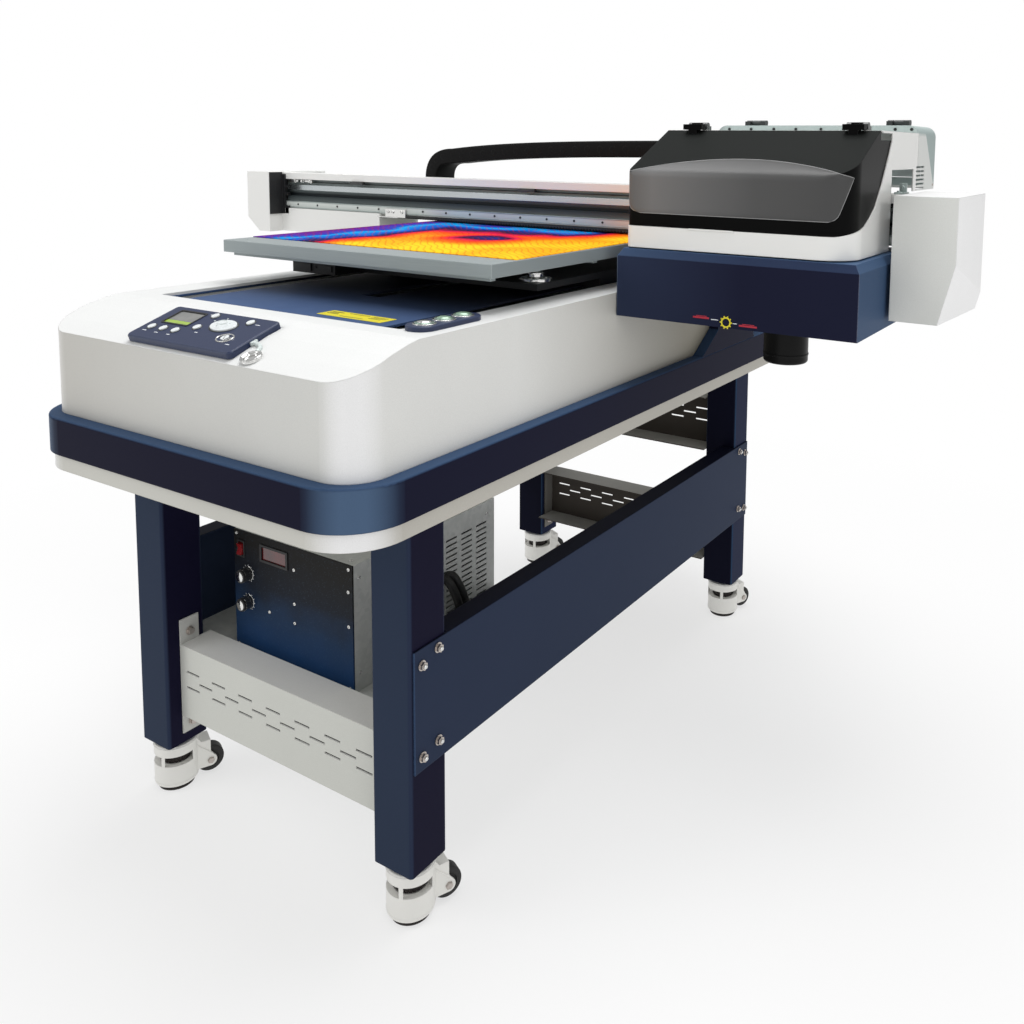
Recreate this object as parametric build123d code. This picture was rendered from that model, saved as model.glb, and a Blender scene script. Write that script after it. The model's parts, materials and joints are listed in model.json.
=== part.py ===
"""Flatbed UV printer: fixed beam, moving table, parked print carriage, levelling casters.

Millimetres. +Z is up and z = 0 is the floor. +X runs along the beam towards the ink box, and the
front of the machine, where the console is, faces -Y. The origin is the centre of the footprint.
"""

import os

from build123d import *

# ---------------------------------------------------------------- driving dimensions
BODY_HALF_X = 387.0
BODY_HALF_Y = 782.0
BODY_RADIUS = 98.0
TRAY_Z = 661.0
BAND_Z = 689.0
SHELL_Z = 751.0
TOP_Z = 933.0
LEDGE = 24.0
TRAY_INSET = 6.5
SHELL_RADIUS = 62.0

LEG = 80.0
LEG_X = 297.0
LEG_Y = 586.0
LEG_BOTTOM = 95.0
LEG_WALL = 3.0

RAIL_Z0 = 261.0
RAIL_Z1 = 456.0
CROSSBAR_Z0 = 150.0
CROSSBAR_HEIGHT = 137.0
UPPER_CROSSBAR_Z0 = 440.0
CROSSBAR_Y = 598.0
CROSSBAR_DEPTH = 64.0
SHEET = 3.0

CASTER_ANGLE = 65.0
WHEEL_OFFSET = 58.0
WHEEL_RADIUS = 25.0
WHEEL_Z = 28.5
FOOT_STROKE = 12.0

OPENING_HALF_X = 290.0
OPENING_FRONT = -589.0
OPENING_REAR = 745.0
DECK_Z = 928.0
SLOPE_FRONT_Z = 889.0
SLOPE_REAR_Y = -628.0

PLATEN_HALF_X = 331.0
PLATEN_FRONT = -425.0
PLATEN_REAR = 515.0
PLATEN_TOP = 1017.0
PLATEN_THICKNESS = 23.5
SHEET_SETBACK = 68.0
SADDLE_Z = 946.0
GUIDE_X = 262.0
NUT_Y = 60.0
TABLE_TRAVEL = 420.0
POSTS = [(-250, -192), (-250, 380), (250, -192), (250, 380)]

BEAM_LEFT = -946.0
BEAM_RIGHT = 830.0
BEAM_FRONT = 163.0
BEAM_REAR = 297.0
BEAM_Z0 = 1030.0
BEAM_Z1 = 1123.0
END_CAP_INNER = -858.0
END_CAP_Z0 = 967.0

CHAIN_FRONT = 207.0
CHAIN_WIDTH = 74.0
CHAIN_HEIGHT = 40.0
CHAIN_BEND_X = -297.0
CHAIN_LOWER_Z = 1038.0
CHAIN_UPPER_Z = 1173.0

CARRIAGE_X0 = 375.0
CARRIAGE_X1 = 807.0
CARRIAGE_FRONT = -78.0
CARRIAGE_REAR = 345.0
CARRIAGE_Z0 = 1021.0
CARRIAGE_Z1 = 1242.0
CARRIAGE_RADIUS = 58.0
CARRIAGE_LEFT_RADIUS = 14.0
VISOR_Z0 = 1062.0
VISOR_HINGE_X = (440.0, 759.0)
VISOR_HINGE_Y = 94.0
VISOR_HINGE_Z = 1250.0
LID_HINGE_Y = 398.0
LID_HINGE_Z = 1264.5
HEAD_X = 591.0
LID_HINGE_X = (436.0, 753.0)

STATION_X0 = 365.0
STATION_X1 = 827.0
STATION_FRONT = -90.0
STATION_REAR = 262.0
STATION_Z0 = 890.0
STATION_EDGE_Z = 1004.0
STATION_Z1 = 1018.5
STATION_TAPER = 32.0

INK_X0 = 835.0
INK_X1 = 946.0
INK_FRONT = 68.0
INK_REAR = 305.0
INK_Z0 = 905.0
INK_Z1 = 1128.0
INK_CUT_Z = 1012.0
INK_CUT_NORMAL = (0.966, -0.075, -0.244)

DRIVER_X0 = -198.0
DRIVER_X1 = 108.0
DRIVER_FRONT = -520.0
DRIVER_REAR = -135.0
DRIVER_Z0 = 267.0
DRIVER_Z1 = 495.0

CONSOLE = Pos(-10, -704, 910.5) * Rot(19, 0, 0)
CONSOLE_HALF_X = 124.0
CONSOLE_HALF_Y = 50.0
CONSOLE_THICKNESS = 11.0
KEYS = [(-100, -18), (-71, -18), (-41, -18), (-10, -1), (-12, 36), (75, 33), (75, -16)]
KEY_RADIUS = 6.5
DIAL = (36, 13)
DIAL_RADII = (26.0, 16.0)

PAD_X = 316.0
PAD_Y = -522.0
PAD_BUTTON_STEP = 44.0
PAD_BUTTONS = {"front": -1, "middle": 0, "rear": 1}

KNOB_X = -160.0
KNOB_Z = {"upper": 417.0, "lower": 363.0}
ROCKER_X = -178.0
ROCKER_Z = 461.0

RUNNING = 0.06
ENDS = (-1, 1)
CORNERS = {
    "front_left": (-LEG_X, -LEG_Y),
    "front_right": (LEG_X, -LEG_Y),
    "rear_left": (-LEG_X, LEG_Y),
    "rear_right": (LEG_X, LEG_Y),
}


# ---------------------------------------------------------------- shape helpers
def block(x0, x1, y0, y1, z0, z1):
    """Box between two corners."""
    centre = Pos((x0 + x1) / 2, (y0 + y1) / 2, (z0 + z1) / 2)
    return centre * Box(x1 - x0, y1 - y0, z1 - z0)


def slab(half_x, half_y, radius, z0, z1):
    """Centred plate with rounded plan corners."""
    outline = RectangleRounded(2 * half_x, 2 * half_y, radius)
    return Pos(0, 0, z0) * extrude(outline, z1 - z0)


def rod_z(x, y, z0, z1, radius):
    """Upright cylinder."""
    return Pos(x, y, (z0 + z1) / 2) * Cylinder(radius, z1 - z0)


def rod_y(x, z, y0, y1, radius):
    """Cylinder along Y."""
    return Pos(x, (y0 + y1) / 2, z) * Rot(90, 0, 0) * Cylinder(radius, y1 - y0)


def rod_x(y, z, x0, x1, radius):
    """Cylinder along X."""
    return Pos((x0 + x1) / 2, y, z) * Rot(0, 90, 0) * Cylinder(radius, x1 - x0)


def along_x(points, x0, x1):
    """Outline in (Y, Z) drawn out along X."""
    section = Plane.YZ.offset(x0) * Polygon(*points, align=None)
    return extrude(section, x1 - x0, dir=(1, 0, 0))


def along_y(points, y0, y1):
    """Outline in (X, Z) drawn out along Y."""
    section = Plane.XZ.offset(-y0) * Polygon(*points, align=None)
    return extrude(section, y1 - y0, dir=(0, 1, 0))


def bundle(shapes):
    """Separate solids that share one node."""
    return Compound([solid for shape in shapes for solid in shape.solids()])


def mirrored(shape):
    """The shape and its twin across the X = 0 plane."""
    return [shape, mirror(shape, about=Plane.YZ)]


# ---------------------------------------------------------------- stand
def leg(x, y):
    """Square tube with a closed foot end and the fixed disc the caster swivels on."""
    tube = extrude(RectangleRounded(LEG, LEG, 6), TRAY_Z - LEG_BOTTOM)
    hollow = Pos(0, 0, 8) * extrude(
        RectangleRounded(LEG - 2 * LEG_WALL, LEG - 2 * LEG_WALL, 3), TRAY_Z - LEG_BOTTOM
    )
    swivel_disc = rod_z(0, 0, -6.5, 0, 28)
    return Pos(x, y, LEG_BOTTOM) * (tube - hollow + swivel_disc)


def side_rail():
    """Right-hand channel: outer web over both legs, flanges turned in between them."""
    outer = LEG_X + LEG / 2
    between = LEG_Y - LEG / 2 - 1
    web_half = LEG_Y + LEG / 2 - 6
    rail = block(outer, outer + SHEET, -web_half, web_half, RAIL_Z0, RAIL_Z1)
    for z in (RAIL_Z0, RAIL_Z1 - SHEET):
        rail += block(outer - 36, outer + SHEET, -between, between, z, z + SHEET)
    return rail


def slot_rows(z0):
    """Three staggered rows of cooling slots through a crossbar web."""
    cuts = []
    for row, shift in ((88, 0), (73, 36), (58, 0)):
        for k in range(-3, 4):
            x = 72 * k + shift - 5
            if abs(x) < 235:
                z = z0 + row
                cuts.append(block(x - 18, x + 18, -CROSSBAR_Y - 1, -CROSSBAR_Y + 4, z, z + 4))
    return cuts


def crossbar(z0):
    """Front channel between the legs, with a bolting tab at each end."""
    end = LEG_X - LEG / 2
    inner = -CROSSBAR_Y + CROSSBAR_DEPTH
    bar = block(-end, end, -CROSSBAR_Y, -CROSSBAR_Y + SHEET, z0, z0 + CROSSBAR_HEIGHT)
    for z in (z0, z0 + CROSSBAR_HEIGHT - SHEET):
        bar += block(-end, end, -CROSSBAR_Y, inner, z, z + SHEET)
    for side in ENDS:
        x0 = min(side * end, side * (end - SHEET))
        z1 = z0 + CROSSBAR_HEIGHT + 46
        bar += block(x0, x0 + SHEET, -CROSSBAR_Y, -CROSSBAR_Y + 38, z0 - 36, z1)
    for cut in slot_rows(z0):
        bar -= cut
    return bar


def rear_crossbar(z0):
    """The same channel at the back, its web outwards."""
    return Rot(0, 0, 180) * crossbar(z0)


def shelf():
    """Tray that carries the lamp driver, resting on the side rails' lower flanges."""
    half_x = LEG_X + LEG / 2 - 1
    plate = block(-half_x, half_x, -531, -110, RAIL_Z0 + SHEET, DRIVER_Z0)
    return plate + block(-half_x, half_x, -112, -110, DRIVER_Z0, DRIVER_Z0 + 22)


def bolt_x(x, y, z, side):
    """Hexagon-head bolt with washer, standing out along X."""
    face = x + side * 2
    washer = rod_x(y, z, min(x, face), max(x, face), 8)
    tip = face + side * 5
    head = extrude(RegularPolygon(6.5, 6), 2.5, both=True)
    return washer + Pos((face + tip) / 2, y, z) * Rot(0, 90, 0) * head


def frame_bolts():
    """Four bolts at each end of each side rail and two at each crossbar tab."""
    bolts = []
    face = LEG_X + LEG / 2 + SHEET
    for side in ENDS:
        for end in ENDS:
            for y, z in ((604, 430), (568, 442), (604, 284), (568, 292)):
                bolts.append(bolt_x(side * face, end * y, z, side))
    tab_face = LEG_X - LEG / 2 - SHEET
    for side in ENDS:
        for z in (CROSSBAR_Z0 - 18, CROSSBAR_Z0 + CROSSBAR_HEIGHT + 20):
            bolts.append(bolt_x(side * tab_face, -CROSSBAR_Y + 19, z, -side))
            bolts.append(bolt_x(side * tab_face, CROSSBAR_Y - 19, z, -side))
        bolts.append(bolt_x(side * tab_face, CROSSBAR_Y - 19, UPPER_CROSSBAR_Z0 - 18, -side))
        bolts.append(bolt_x(side * tab_face, CROSSBAR_Y - 19, UPPER_CROSSBAR_Z0 + 160, -side))
    return bundle(bolts)


# ---------------------------------------------------------------- levelling casters
def caster_fork():
    """Cast swivel body with windows to the thumbwheel, two cheeks and the wheel axle."""
    body = rod_z(0, 0, 9, 88, 38)
    body = fillet(body.edges().filter_by(GeomType.CIRCLE), 3)
    cheeks = block(10, WHEEL_OFFSET, -17, 17, WHEEL_Z - 11, 70)
    cheeks += rod_y(WHEEL_OFFSET, WHEEL_Z, -17, 17, 11)
    web = [(WHEEL_OFFSET - 1, 18), (WHEEL_OFFSET + 9, 34), (30, 86), (10, 86), (10, 18)]
    cheeks += along_y(web, -17, 17)
    fork = body + cheeks
    fork -= rod_z(0, 0, 0, 10 + FOOT_STROKE, 33)
    fork -= rod_z(0, 0, 0, 16 + FOOT_STROKE, 15)
    fork -= rod_y(WHEEL_OFFSET, WHEEL_Z, -12, 12, WHEEL_RADIUS + 2)
    fork -= rod_z(0, 0, 46, 76, 27)
    fork -= rod_z(0, 0, 0, 50, 6 + RUNNING)
    fork -= block(-45, -10, -24, 24, 50, 68)
    fork -= block(-24, 24, -45, 45, 50, 68)
    fork += rod_y(WHEEL_OFFSET, WHEEL_Z, -14, 14, 4)
    return fork


def caster_wheel():
    """Solid tyre on a hub with recessed sides."""
    wheel = rod_y(WHEEL_OFFSET, WHEEL_Z, -11, 11, WHEEL_RADIUS)
    wheel = fillet(wheel.edges(), 3)
    for side in ENDS:
        wheel -= rod_y(WHEEL_OFFSET, WHEEL_Z, side * 11 - 3, side * 11 + 3, 16)
    return wheel - rod_y(WHEEL_OFFSET, WHEEL_Z, -12, 12, 4 + RUNNING)


def levelling_foot():
    """Rubber-faced pad, screw stem and the thumbwheel seen through the window."""
    foot = rod_z(0, 0, 0, 8, 31)
    foot = fillet(foot.edges().group_by(Axis.Z)[-1], 3)
    foot += rod_z(0, 0, 8, 14, 14)
    foot += rod_z(0, 0, 8, 62, 6)
    thumbwheel = rod_z(0, 0, 50, 61, 25)
    for k in range(24):
        thumbwheel -= Rot(0, 0, 15 * k) * rod_z(25.4, 0, 49, 62, 1.3)
    return foot + thumbwheel


# ---------------------------------------------------------------- body
def under_tray():
    """Shallow white pan that closes the body from below."""
    half_x = BODY_HALF_X - TRAY_INSET
    half_y = BODY_HALF_Y - TRAY_INSET
    radius = BODY_RADIUS - TRAY_INSET
    pan = slab(half_x, half_y, radius, TRAY_Z, BAND_Z)
    return pan - slab(half_x - 4, half_y - 4, radius - 4, TRAY_Z + 4, BAND_Z + 1)


def upright():
    """Side column that rises from the band and carries the beam."""
    front = [(244, SHELL_Z), (256, 758), (324, 800), (345, BEAM_Z0)]
    outline = front + [(470, BEAM_Z0), (500, 816), (532, SHELL_Z)]
    return along_x(outline, BODY_HALF_X - LEDGE + 0.5, BODY_HALF_X)


def blue_band():
    """Painted band around the body with a flat ledge and the two uprights."""
    wall = LEDGE + 8
    band = slab(BODY_HALF_X, BODY_HALF_Y, BODY_RADIUS, BAND_Z, SHELL_Z)
    band = fillet(band.edges().group_by(Axis.Z)[-1], 4)
    band -= slab(BODY_HALF_X - wall, BODY_HALF_Y - wall, BODY_RADIUS - wall, BAND_Z - 1, SHELL_Z + 1)
    for column in mirrored(upright()):
        band += column
    return band


def shell_solid(inset, z0, drop):
    """Upper body block, its front top edge sloped down to the console."""
    half_x = BODY_HALF_X - LEDGE - inset
    half_y = BODY_HALF_Y - LEDGE - inset
    top = TOP_Z - drop
    solid = slab(half_x, half_y, SHELL_RADIUS - inset, z0, top)
    front = -half_y - 1
    slope = [
        (front, SLOPE_FRONT_Z - drop),
        (-723, 905 - drop),
        (-686, 919 - drop),
        (-650, 929 - drop),
        (SLOPE_REAR_Y, top),
        (SLOPE_REAR_Y, top + 60),
        (front, top + 60),
    ]
    return solid - along_x(slope, -half_x - 1, half_x + 1)


def upper_shell():
    """White moulded cover with the long table opening."""
    shell = shell_solid(0, SHELL_Z, 0) - shell_solid(4, SHELL_Z - 1, 4)
    half_x = OPENING_HALF_X
    opening = block(-half_x, half_x, OPENING_FRONT, OPENING_REAR, TOP_Z - 20, TOP_Z + 20)
    opening = fillet(opening.edges().filter_by(Axis.Z), 6)
    half_x = OPENING_HALF_X + 3
    lip = block(-half_x, half_x, OPENING_FRONT - 3, OPENING_REAR + 3, DECK_Z - 14, TOP_Z - 3)
    half_x = CONSOLE_HALF_X + 0.5
    half_y = CONSOLE_HALF_Y + 0.5
    seat = CONSOLE * block(-half_x, half_x, -half_y, half_y, 0, 30)
    return shell + lip - opening - seat


def deck_panel():
    """Blue deck sunk in the opening, slotted for the guide shoes and the screw nut."""
    half_x = OPENING_HALF_X - 0.5
    deck = block(-half_x, half_x, OPENING_FRONT + 0.5, OPENING_REAR - 0.5, DECK_Z - 4, DECK_Z)
    deck = fillet(deck.edges().filter_by(Axis.Z), 6)
    for x in (-GUIDE_X, GUIDE_X):
        deck -= block(x - 24, x + 23, -575, 732, DECK_Z - 10, DECK_Z + 10)
    y0, y1 = NUT_Y - TABLE_TRAVEL - 5, NUT_Y + 70 + TABLE_TRAVEL + 5
    return deck - block(-24, 24, y0, y1, DECK_Z - 10, DECK_Z + 10)


# ---------------------------------------------------------------- table
def y_rails():
    """Two guide rails, each on a box bearer standing on the tray floor."""
    parts = []
    for x in (-GUIDE_X, GUIDE_X):
        bearer = block(x - 30, x + 30, -570, 735, TRAY_Z + 4, 880)
        bearer -= block(x - 27, x + 27, -571, 736, TRAY_Z + 7, 877)
        rail = block(x - 10, x + 10, -560, 732, 880, 898)
        for side in ENDS:
            rail -= rod_y(x + side * 11, 890, -561, 733, 3)
        parts += [bearer, rail]
    return bundle(parts)


def y_screw():
    """Ball screw under the deck, with a journal at each end."""
    return rod_y(0, 880, -540, 690, 10) + rod_y(0, 880, -560, -540, 7) + rod_y(0, 880, 690, 700, 7)


def y_motor():
    """Screw motor with its flange, and the front bearing pedestal."""
    motor = block(-30, 30, 701, 745, 850, 910) + block(-38, 38, 701, 707, 842, 918)
    motor += block(-22, 22, 701, 740, TRAY_Z + 4, 850)
    pedestal = block(-26, 26, -564, -544, TRAY_Z + 4, 898)
    pedestal -= rod_y(0, 880, -570, -530, 7 + RUNNING)
    return bundle([motor, pedestal])


def table_saddle():
    """Dark saddle plate with four guide shoes, the screw nut and a cable block at the front."""
    saddle = block(-283, 283, -232, 420, SADDLE_Z, SADDLE_Z + 12)
    saddle += block(-281, -160, -300, -231, SADDLE_Z, SADDLE_Z + 24)
    for x in (-GUIDE_X, GUIDE_X):
        for y0 in (-18, 200):
            shoe = block(x - 20, x + 20, y0, y0 + 100, 884, SADDLE_Z)
            groove = block(x - 10.5, x + 10.5, y0 - 1, y0 + 101, 883, 898.4)
            saddle += shoe - groove
    nut = block(-20, 20, NUT_Y, NUT_Y + 70, 862, SADDLE_Z)
    nut -= rod_y(0, 880, NUT_Y - 1, NUT_Y + 71, 10 + RUNNING)
    return saddle + nut


def levelling_post(x, y):
    """Chromed post: round flange, stem and lock nut under the platen."""
    z0 = SADDLE_Z + 12
    top = PLATEN_TOP - PLATEN_THICKNESS
    post = rod_z(x, y, z0, z0 + 5, 30) + rod_z(x, y, z0 + 5, z0 + 14, 15)
    post += rod_z(x, y, z0 + 14, top, 8)
    return post + rod_z(x, y, top - 7, top, 14)


def platen():
    """Flat aluminium table with softened upper edges and a stop groove in front of the sheet."""
    underside = PLATEN_TOP - PLATEN_THICKNESS
    plate = block(-PLATEN_HALF_X, PLATEN_HALF_X, PLATEN_FRONT, PLATEN_REAR, underside, PLATEN_TOP)
    plate = chamfer(plate.edges().group_by(Axis.Z)[-1], 1)
    groove = PLATEN_FRONT + SHEET_SETBACK - 3
    half_x = PLATEN_HALF_X + 1
    return plate - block(-half_x, half_x, groove, groove + 1.5, PLATEN_TOP - 1, PLATEN_TOP + 1)


def print_sheet():
    """Printed board lying on the platen, short of its front edge."""
    return block(
        -PLATEN_HALF_X + 1.5,
        PLATEN_HALF_X - 1.5,
        PLATEN_FRONT + SHEET_SETBACK,
        PLATEN_REAR - 5,
        PLATEN_TOP,
        PLATEN_TOP + 1.5,
    )


# ---------------------------------------------------------------- beam
def beam():
    """U-shaped beam: grooved front wall, cable trough, rear wall, duct lid, rear foot plate."""
    wall_back = 202.0
    front_wall = [
        (BEAM_FRONT, BEAM_Z0),
        (BEAM_FRONT, 1050),
        (169, 1052),
        (169, 1064),
        (183, 1066),
        (183, 1113),
        (166, 1115),
        (166, BEAM_Z1),
        (wall_back, BEAM_Z1),
        (wall_back, BEAM_Z0),
    ]
    frame = along_x(front_wall, BEAM_LEFT + 2.5, BEAM_RIGHT)
    frame += block(BEAM_LEFT + 2.5, BEAM_RIGHT, wall_back, BEAM_REAR, BEAM_Z0, BEAM_Z0 + 6)
    frame += block(BEAM_LEFT + 2.5, BEAM_RIGHT, BEAM_REAR - 8, BEAM_REAR, BEAM_Z0, 1100)
    frame += block(-252, BEAM_RIGHT, wall_back, BEAM_REAR - 6, 1081, 1085)
    frame += block(BEAM_RIGHT - 4, BEAM_RIGHT, BEAM_FRONT, BEAM_REAR, BEAM_Z0, BEAM_Z1)
    foot = block(-BODY_HALF_X, BODY_HALF_X, BEAM_REAR - 4, 470, BEAM_Z0, BEAM_Z0 + 12)
    gusset = [(BEAM_REAR - 4, BEAM_Z0 + 10), (BEAM_REAR - 4, 1096), (440, BEAM_Z0 + 10)]
    for x in (-330, -110, 110, 330):
        foot += along_x(gusset, x - 3, x + 3)
    return frame + foot


def beam_end_cap():
    """White sheet cover on the beam's free end, with the apron that runs in below the beam."""
    y0, y1 = 115.0, 312.0
    outline = [
        (BEAM_LEFT, 1004),
        (BEAM_LEFT + 46, END_CAP_Z0),
        (END_CAP_INNER, END_CAP_Z0),
        (END_CAP_INNER, 1128),
        (BEAM_LEFT, 1128),
    ]
    hollow = [
        (BEAM_LEFT + 2.5, 1005.5),
        (BEAM_LEFT + 47, END_CAP_Z0 + 2.5),
        (END_CAP_INNER + 1, END_CAP_Z0 + 2.5),
        (END_CAP_INNER + 1, 1125.5),
        (BEAM_LEFT + 2.5, 1125.5),
    ]
    cap = along_y(outline, y0, y1) - along_y(hollow, y0 + 2.5, y1 - 2.5)
    wall_x = END_CAP_INNER - 2.5
    cap += block(wall_x, END_CAP_INNER, y0 + 2.5, y1 - 2.5, END_CAP_Z0 + 2.5, 1125.5)
    mouth_z1 = BEAM_Z1 + 0.3
    mouth_x = END_CAP_INNER + 1
    cap -= block(mouth_x - 4, mouth_x, BEAM_FRONT - 2, BEAM_REAR + 1, BEAM_Z0 - 1, mouth_z1)
    apron = block(END_CAP_INNER, -493, 158, 300, END_CAP_Z0, BEAM_Z0)
    apron -= block(END_CAP_INNER - 1, -495.5, 160.5, 297.5, END_CAP_Z0 + 2.5, BEAM_Z0 + 1)
    return cap + apron


def x_rail():
    """Linear guide rail in the beam's front groove."""
    rail = block(-845, 815, 169, 183, 1080, 1094)
    for z in (1079.5, 1094.5):
        rail -= rod_x(174, z, -846, 816, 2.5)
    return rail


def x_belt():
    """Closed timing belt above the rail, with the two toothed pulleys it turns on."""
    outer = extrude(SlotOverall(1656, 11), 9)
    inner = extrude(SlotOverall(1653, 8), 9)
    loop = Pos(-15, 181, 1106) * Rot(90, 0, 0) * (outer - inner)
    pulleys = [rod_y(x, 1106, 172, 183, 3.9) for x in (-837.5, 807.5)]
    return bundle([loop] + pulleys)


# ---------------------------------------------------------------- cable chain
def chain_bend():
    """Moving U-bend of the cable chain and the lower run behind it, inside the duct."""
    y0 = CHAIN_FRONT
    y1 = CHAIN_FRONT + CHAIN_WIDTH
    centre_z = (CHAIN_LOWER_Z + CHAIN_UPPER_Z + CHAIN_HEIGHT) / 2
    outer = CHAIN_UPPER_Z + CHAIN_HEIGHT - centre_z
    bend = rod_y(CHAIN_BEND_X, centre_z, y0, y1, outer)
    bend -= rod_y(CHAIN_BEND_X, centre_z, y0 - 1, y1 + 1, outer - CHAIN_HEIGHT)
    bend -= block(CHAIN_BEND_X, CHAIN_BEND_X + 200, y0 - 1, y1 + 1, 900, 1400)
    lower_top = CHAIN_LOWER_Z + CHAIN_HEIGHT
    return bend + block(CHAIN_BEND_X, CHAIN_BEND_X + 505, y0, y1, CHAIN_LOWER_Z, lower_top)


def chain_upper_run():
    """Upper run of the cable chain, from the bend to the carriage."""
    return block(
        CHAIN_BEND_X + 0.5,
        CARRIAGE_X0 - 3,
        CHAIN_FRONT,
        CHAIN_FRONT + CHAIN_WIDTH,
        CHAIN_UPPER_Z,
        CHAIN_UPPER_Z + CHAIN_HEIGHT,
    )


# ---------------------------------------------------------------- carriage
def carriage_side(inset):
    """Side outline of the carriage hood in (Y, Z)."""
    front = CARRIAGE_FRONT + inset
    top = CARRIAGE_Z1 - inset
    return [
        (front, CARRIAGE_Z0),
        (front, 1162),
        (82, top),
        (CARRIAGE_REAR, top),
        (CARRIAGE_REAR, CARRIAGE_Z0),
    ]


def hood_block(x_inset, inset):
    """Hood envelope: wide round front right corner, tight front left corner."""
    x0 = CARRIAGE_X0 + x_inset
    x1 = CARRIAGE_X1 - x_inset
    envelope = along_x(carriage_side(inset), x0, x1)
    front = CARRIAGE_FRONT + inset
    length = CARRIAGE_REAR - front + 60
    middle = front + length / 2
    wide = RectangleRounded(x1 - x0, length, CARRIAGE_RADIUS - x_inset)
    tight = RectangleRounded(x1 - x0 - 120, length, CARRIAGE_LEFT_RADIUS - x_inset)
    plan = Pos((x0 + x1) / 2, middle) * wide + Pos((x0 + x1) / 2 - 60, middle) * tight
    return envelope & (Pos(0, 0, 1000) * extrude(plan, 300))


def visor_cut(x0, x1, overlap):
    """Space the visor fills, seen from the side. A positive overlap reaches further back."""
    outline = [
        (-200, VISOR_Z0 - 0.8),
        (-70, VISOR_Z0 - 0.8),
        (-42, 1068),
        (-30, 1070.8),
        (-3 + overlap, 1077),
        (25 + overlap, 1089),
        (56 + overlap, 1107),
        (92 + overlap, 1145),
        (127 + overlap, 1190),
        (150 + overlap, 1224),
        (150 + overlap, 1238),
        (88, 1238 + overlap * 0.2),
        (88, 1300),
        (-200, 1300),
    ]
    return along_x(outline, x0, x1)


def carriage_shell():
    """White hood: low front wall, raked side walls, top panel, openings that clear the beam."""
    hood = hood_block(0, 0) - hood_block(2.5, 2.5)
    x0 = CARRIAGE_X0 - 1
    x1 = CARRIAGE_X1 + 1
    hood -= block(x0, x1, CARRIAGE_REAR - 2, CARRIAGE_REAR + 1, 1000, CARRIAGE_Z1 - 2.5)
    hood -= visor_cut(x0, x1, 0)
    hood -= block(x0, x1, 155, 400, 1000, 1127)
    hood -= block(x0, x1, 155, 313, 1120, 1171)
    hood -= block(CARRIAGE_X0 + 3, CARRIAGE_X1 - 3, 60, 88, 1200, 1300)
    for k in range(6):
        z = 1130 + 8.5 * k
        hood -= block(CARRIAGE_X1 - 3, x1, 334, 346, z, z + 4)
    for x in VISOR_HINGE_X:
        for offset in (-15, 15):
            hinge = block(x + offset - 5, x + offset + 5, 89, 108, CARRIAGE_Z1 - 2.5, VISOR_HINGE_Z)
            hinge += rod_x(VISOR_HINGE_Y, VISOR_HINGE_Z, x + offset - 5, x + offset + 5, 7)
            hood += hinge
        hood += rod_x(VISOR_HINGE_Y, VISOR_HINGE_Z, x - 18, x + 18, 2.5)
    return hood


def visor():
    """Black flip-up cover. Its side cheeks tuck inside the white side walls."""
    outer = hood_block(3, 0.4)
    inner = hood_block(5.5, 3.4)
    cover = (outer - inner) & visor_cut(CARRIAGE_X0, CARRIAGE_X1, 8)
    cover -= block(CARRIAGE_X0, CARRIAGE_X1, CARRIAGE_FRONT - 5, -2, 1000, VISOR_Z0)
    cover -= block(CARRIAGE_X0, CARRIAGE_X1, 85, 400, 1225, 1300)
    for x in VISOR_HINGE_X:
        arm = block(x - 9, x + 9, 80, VISOR_HINGE_Y, CARRIAGE_Z1 + 0.6, VISOR_HINGE_Z + 6)
        arm += block(x - 20, x + 20, 64, 82, CARRIAGE_Z1 + 0.6, VISOR_HINGE_Z + 3)
        arm += block(x - 9, x + 9, 64, 83, CARRIAGE_Z1 - 8, CARRIAGE_Z1 + 1)
        arm += rod_x(VISOR_HINGE_Y, VISOR_HINGE_Z, x - 9, x + 9, 7)
        arm -= rod_x(VISOR_HINGE_Y, VISOR_HINGE_Z, x - 10, x + 10, 2.5 + RUNNING)
        cover += arm
    return cover


def rear_cover():
    """Sheet cover behind the beam, its flange a little proud of the hood, open where the lid lies."""
    x0, x1 = CARRIAGE_X0 - 11, CARRIAGE_X1
    y0, y1 = CARRIAGE_REAR, 490.0
    z0, z1 = 1127.0, 1258.0
    cover = block(x0, x1, y0, y1, z0, z1)
    cover = fillet(cover.edges().filter_by(Axis.Y).group_by(Axis.Z)[-1], 22)
    inner = block(x0 + 2.5, x1 - 2.5, y0 - 1, y1 - 2.5, z0 - 1, z1 - 2.5)
    inner = fillet(inner.edges().filter_by(Axis.Y).group_by(Axis.Z)[-1], 19.5)
    cover -= inner
    flange = block(x0, x1, y0, y0 + 2.5, z0, z1)
    flange = fillet(flange.edges().filter_by(Axis.Y).group_by(Axis.Z)[-1], 22)
    flange -= block(CARRIAGE_X0 + 4, CARRIAGE_X1 - 4, y0 - 1, y0 + 4, z0 - 1, 1228)
    cover += flange
    cover -= block(x0 + 30, x1 - 27, 402, y1 + 1, 1150, z1 + 1)
    for k in range(6):
        z = 1130 + 8.5 * k
        cover -= block(x1 - 3, x1 + 1, y0 - 1, 402, z, z + 4)
    return cover + cover_hinges()


def cover_hinges():
    """Fixed halves of the two rear lid hinges, with their pins."""
    halves = []
    for x in LID_HINGE_X:
        for offset in (-17.5, 17.5):
            x0, x1 = x + offset - 6, x + offset + 6
            halves.append(block(x0, x1, 384, LID_HINGE_Y, 1256, LID_HINGE_Z + 3.5))
            halves.append(rod_x(LID_HINGE_Y, LID_HINGE_Z, x0, x1, 6))
        halves.append(rod_x(LID_HINGE_Y, LID_HINGE_Z, x - 18, x + 18, 2))
    hinges = halves[0]
    for half in halves[1:]:
        hinges += half
    return hinges


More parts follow.
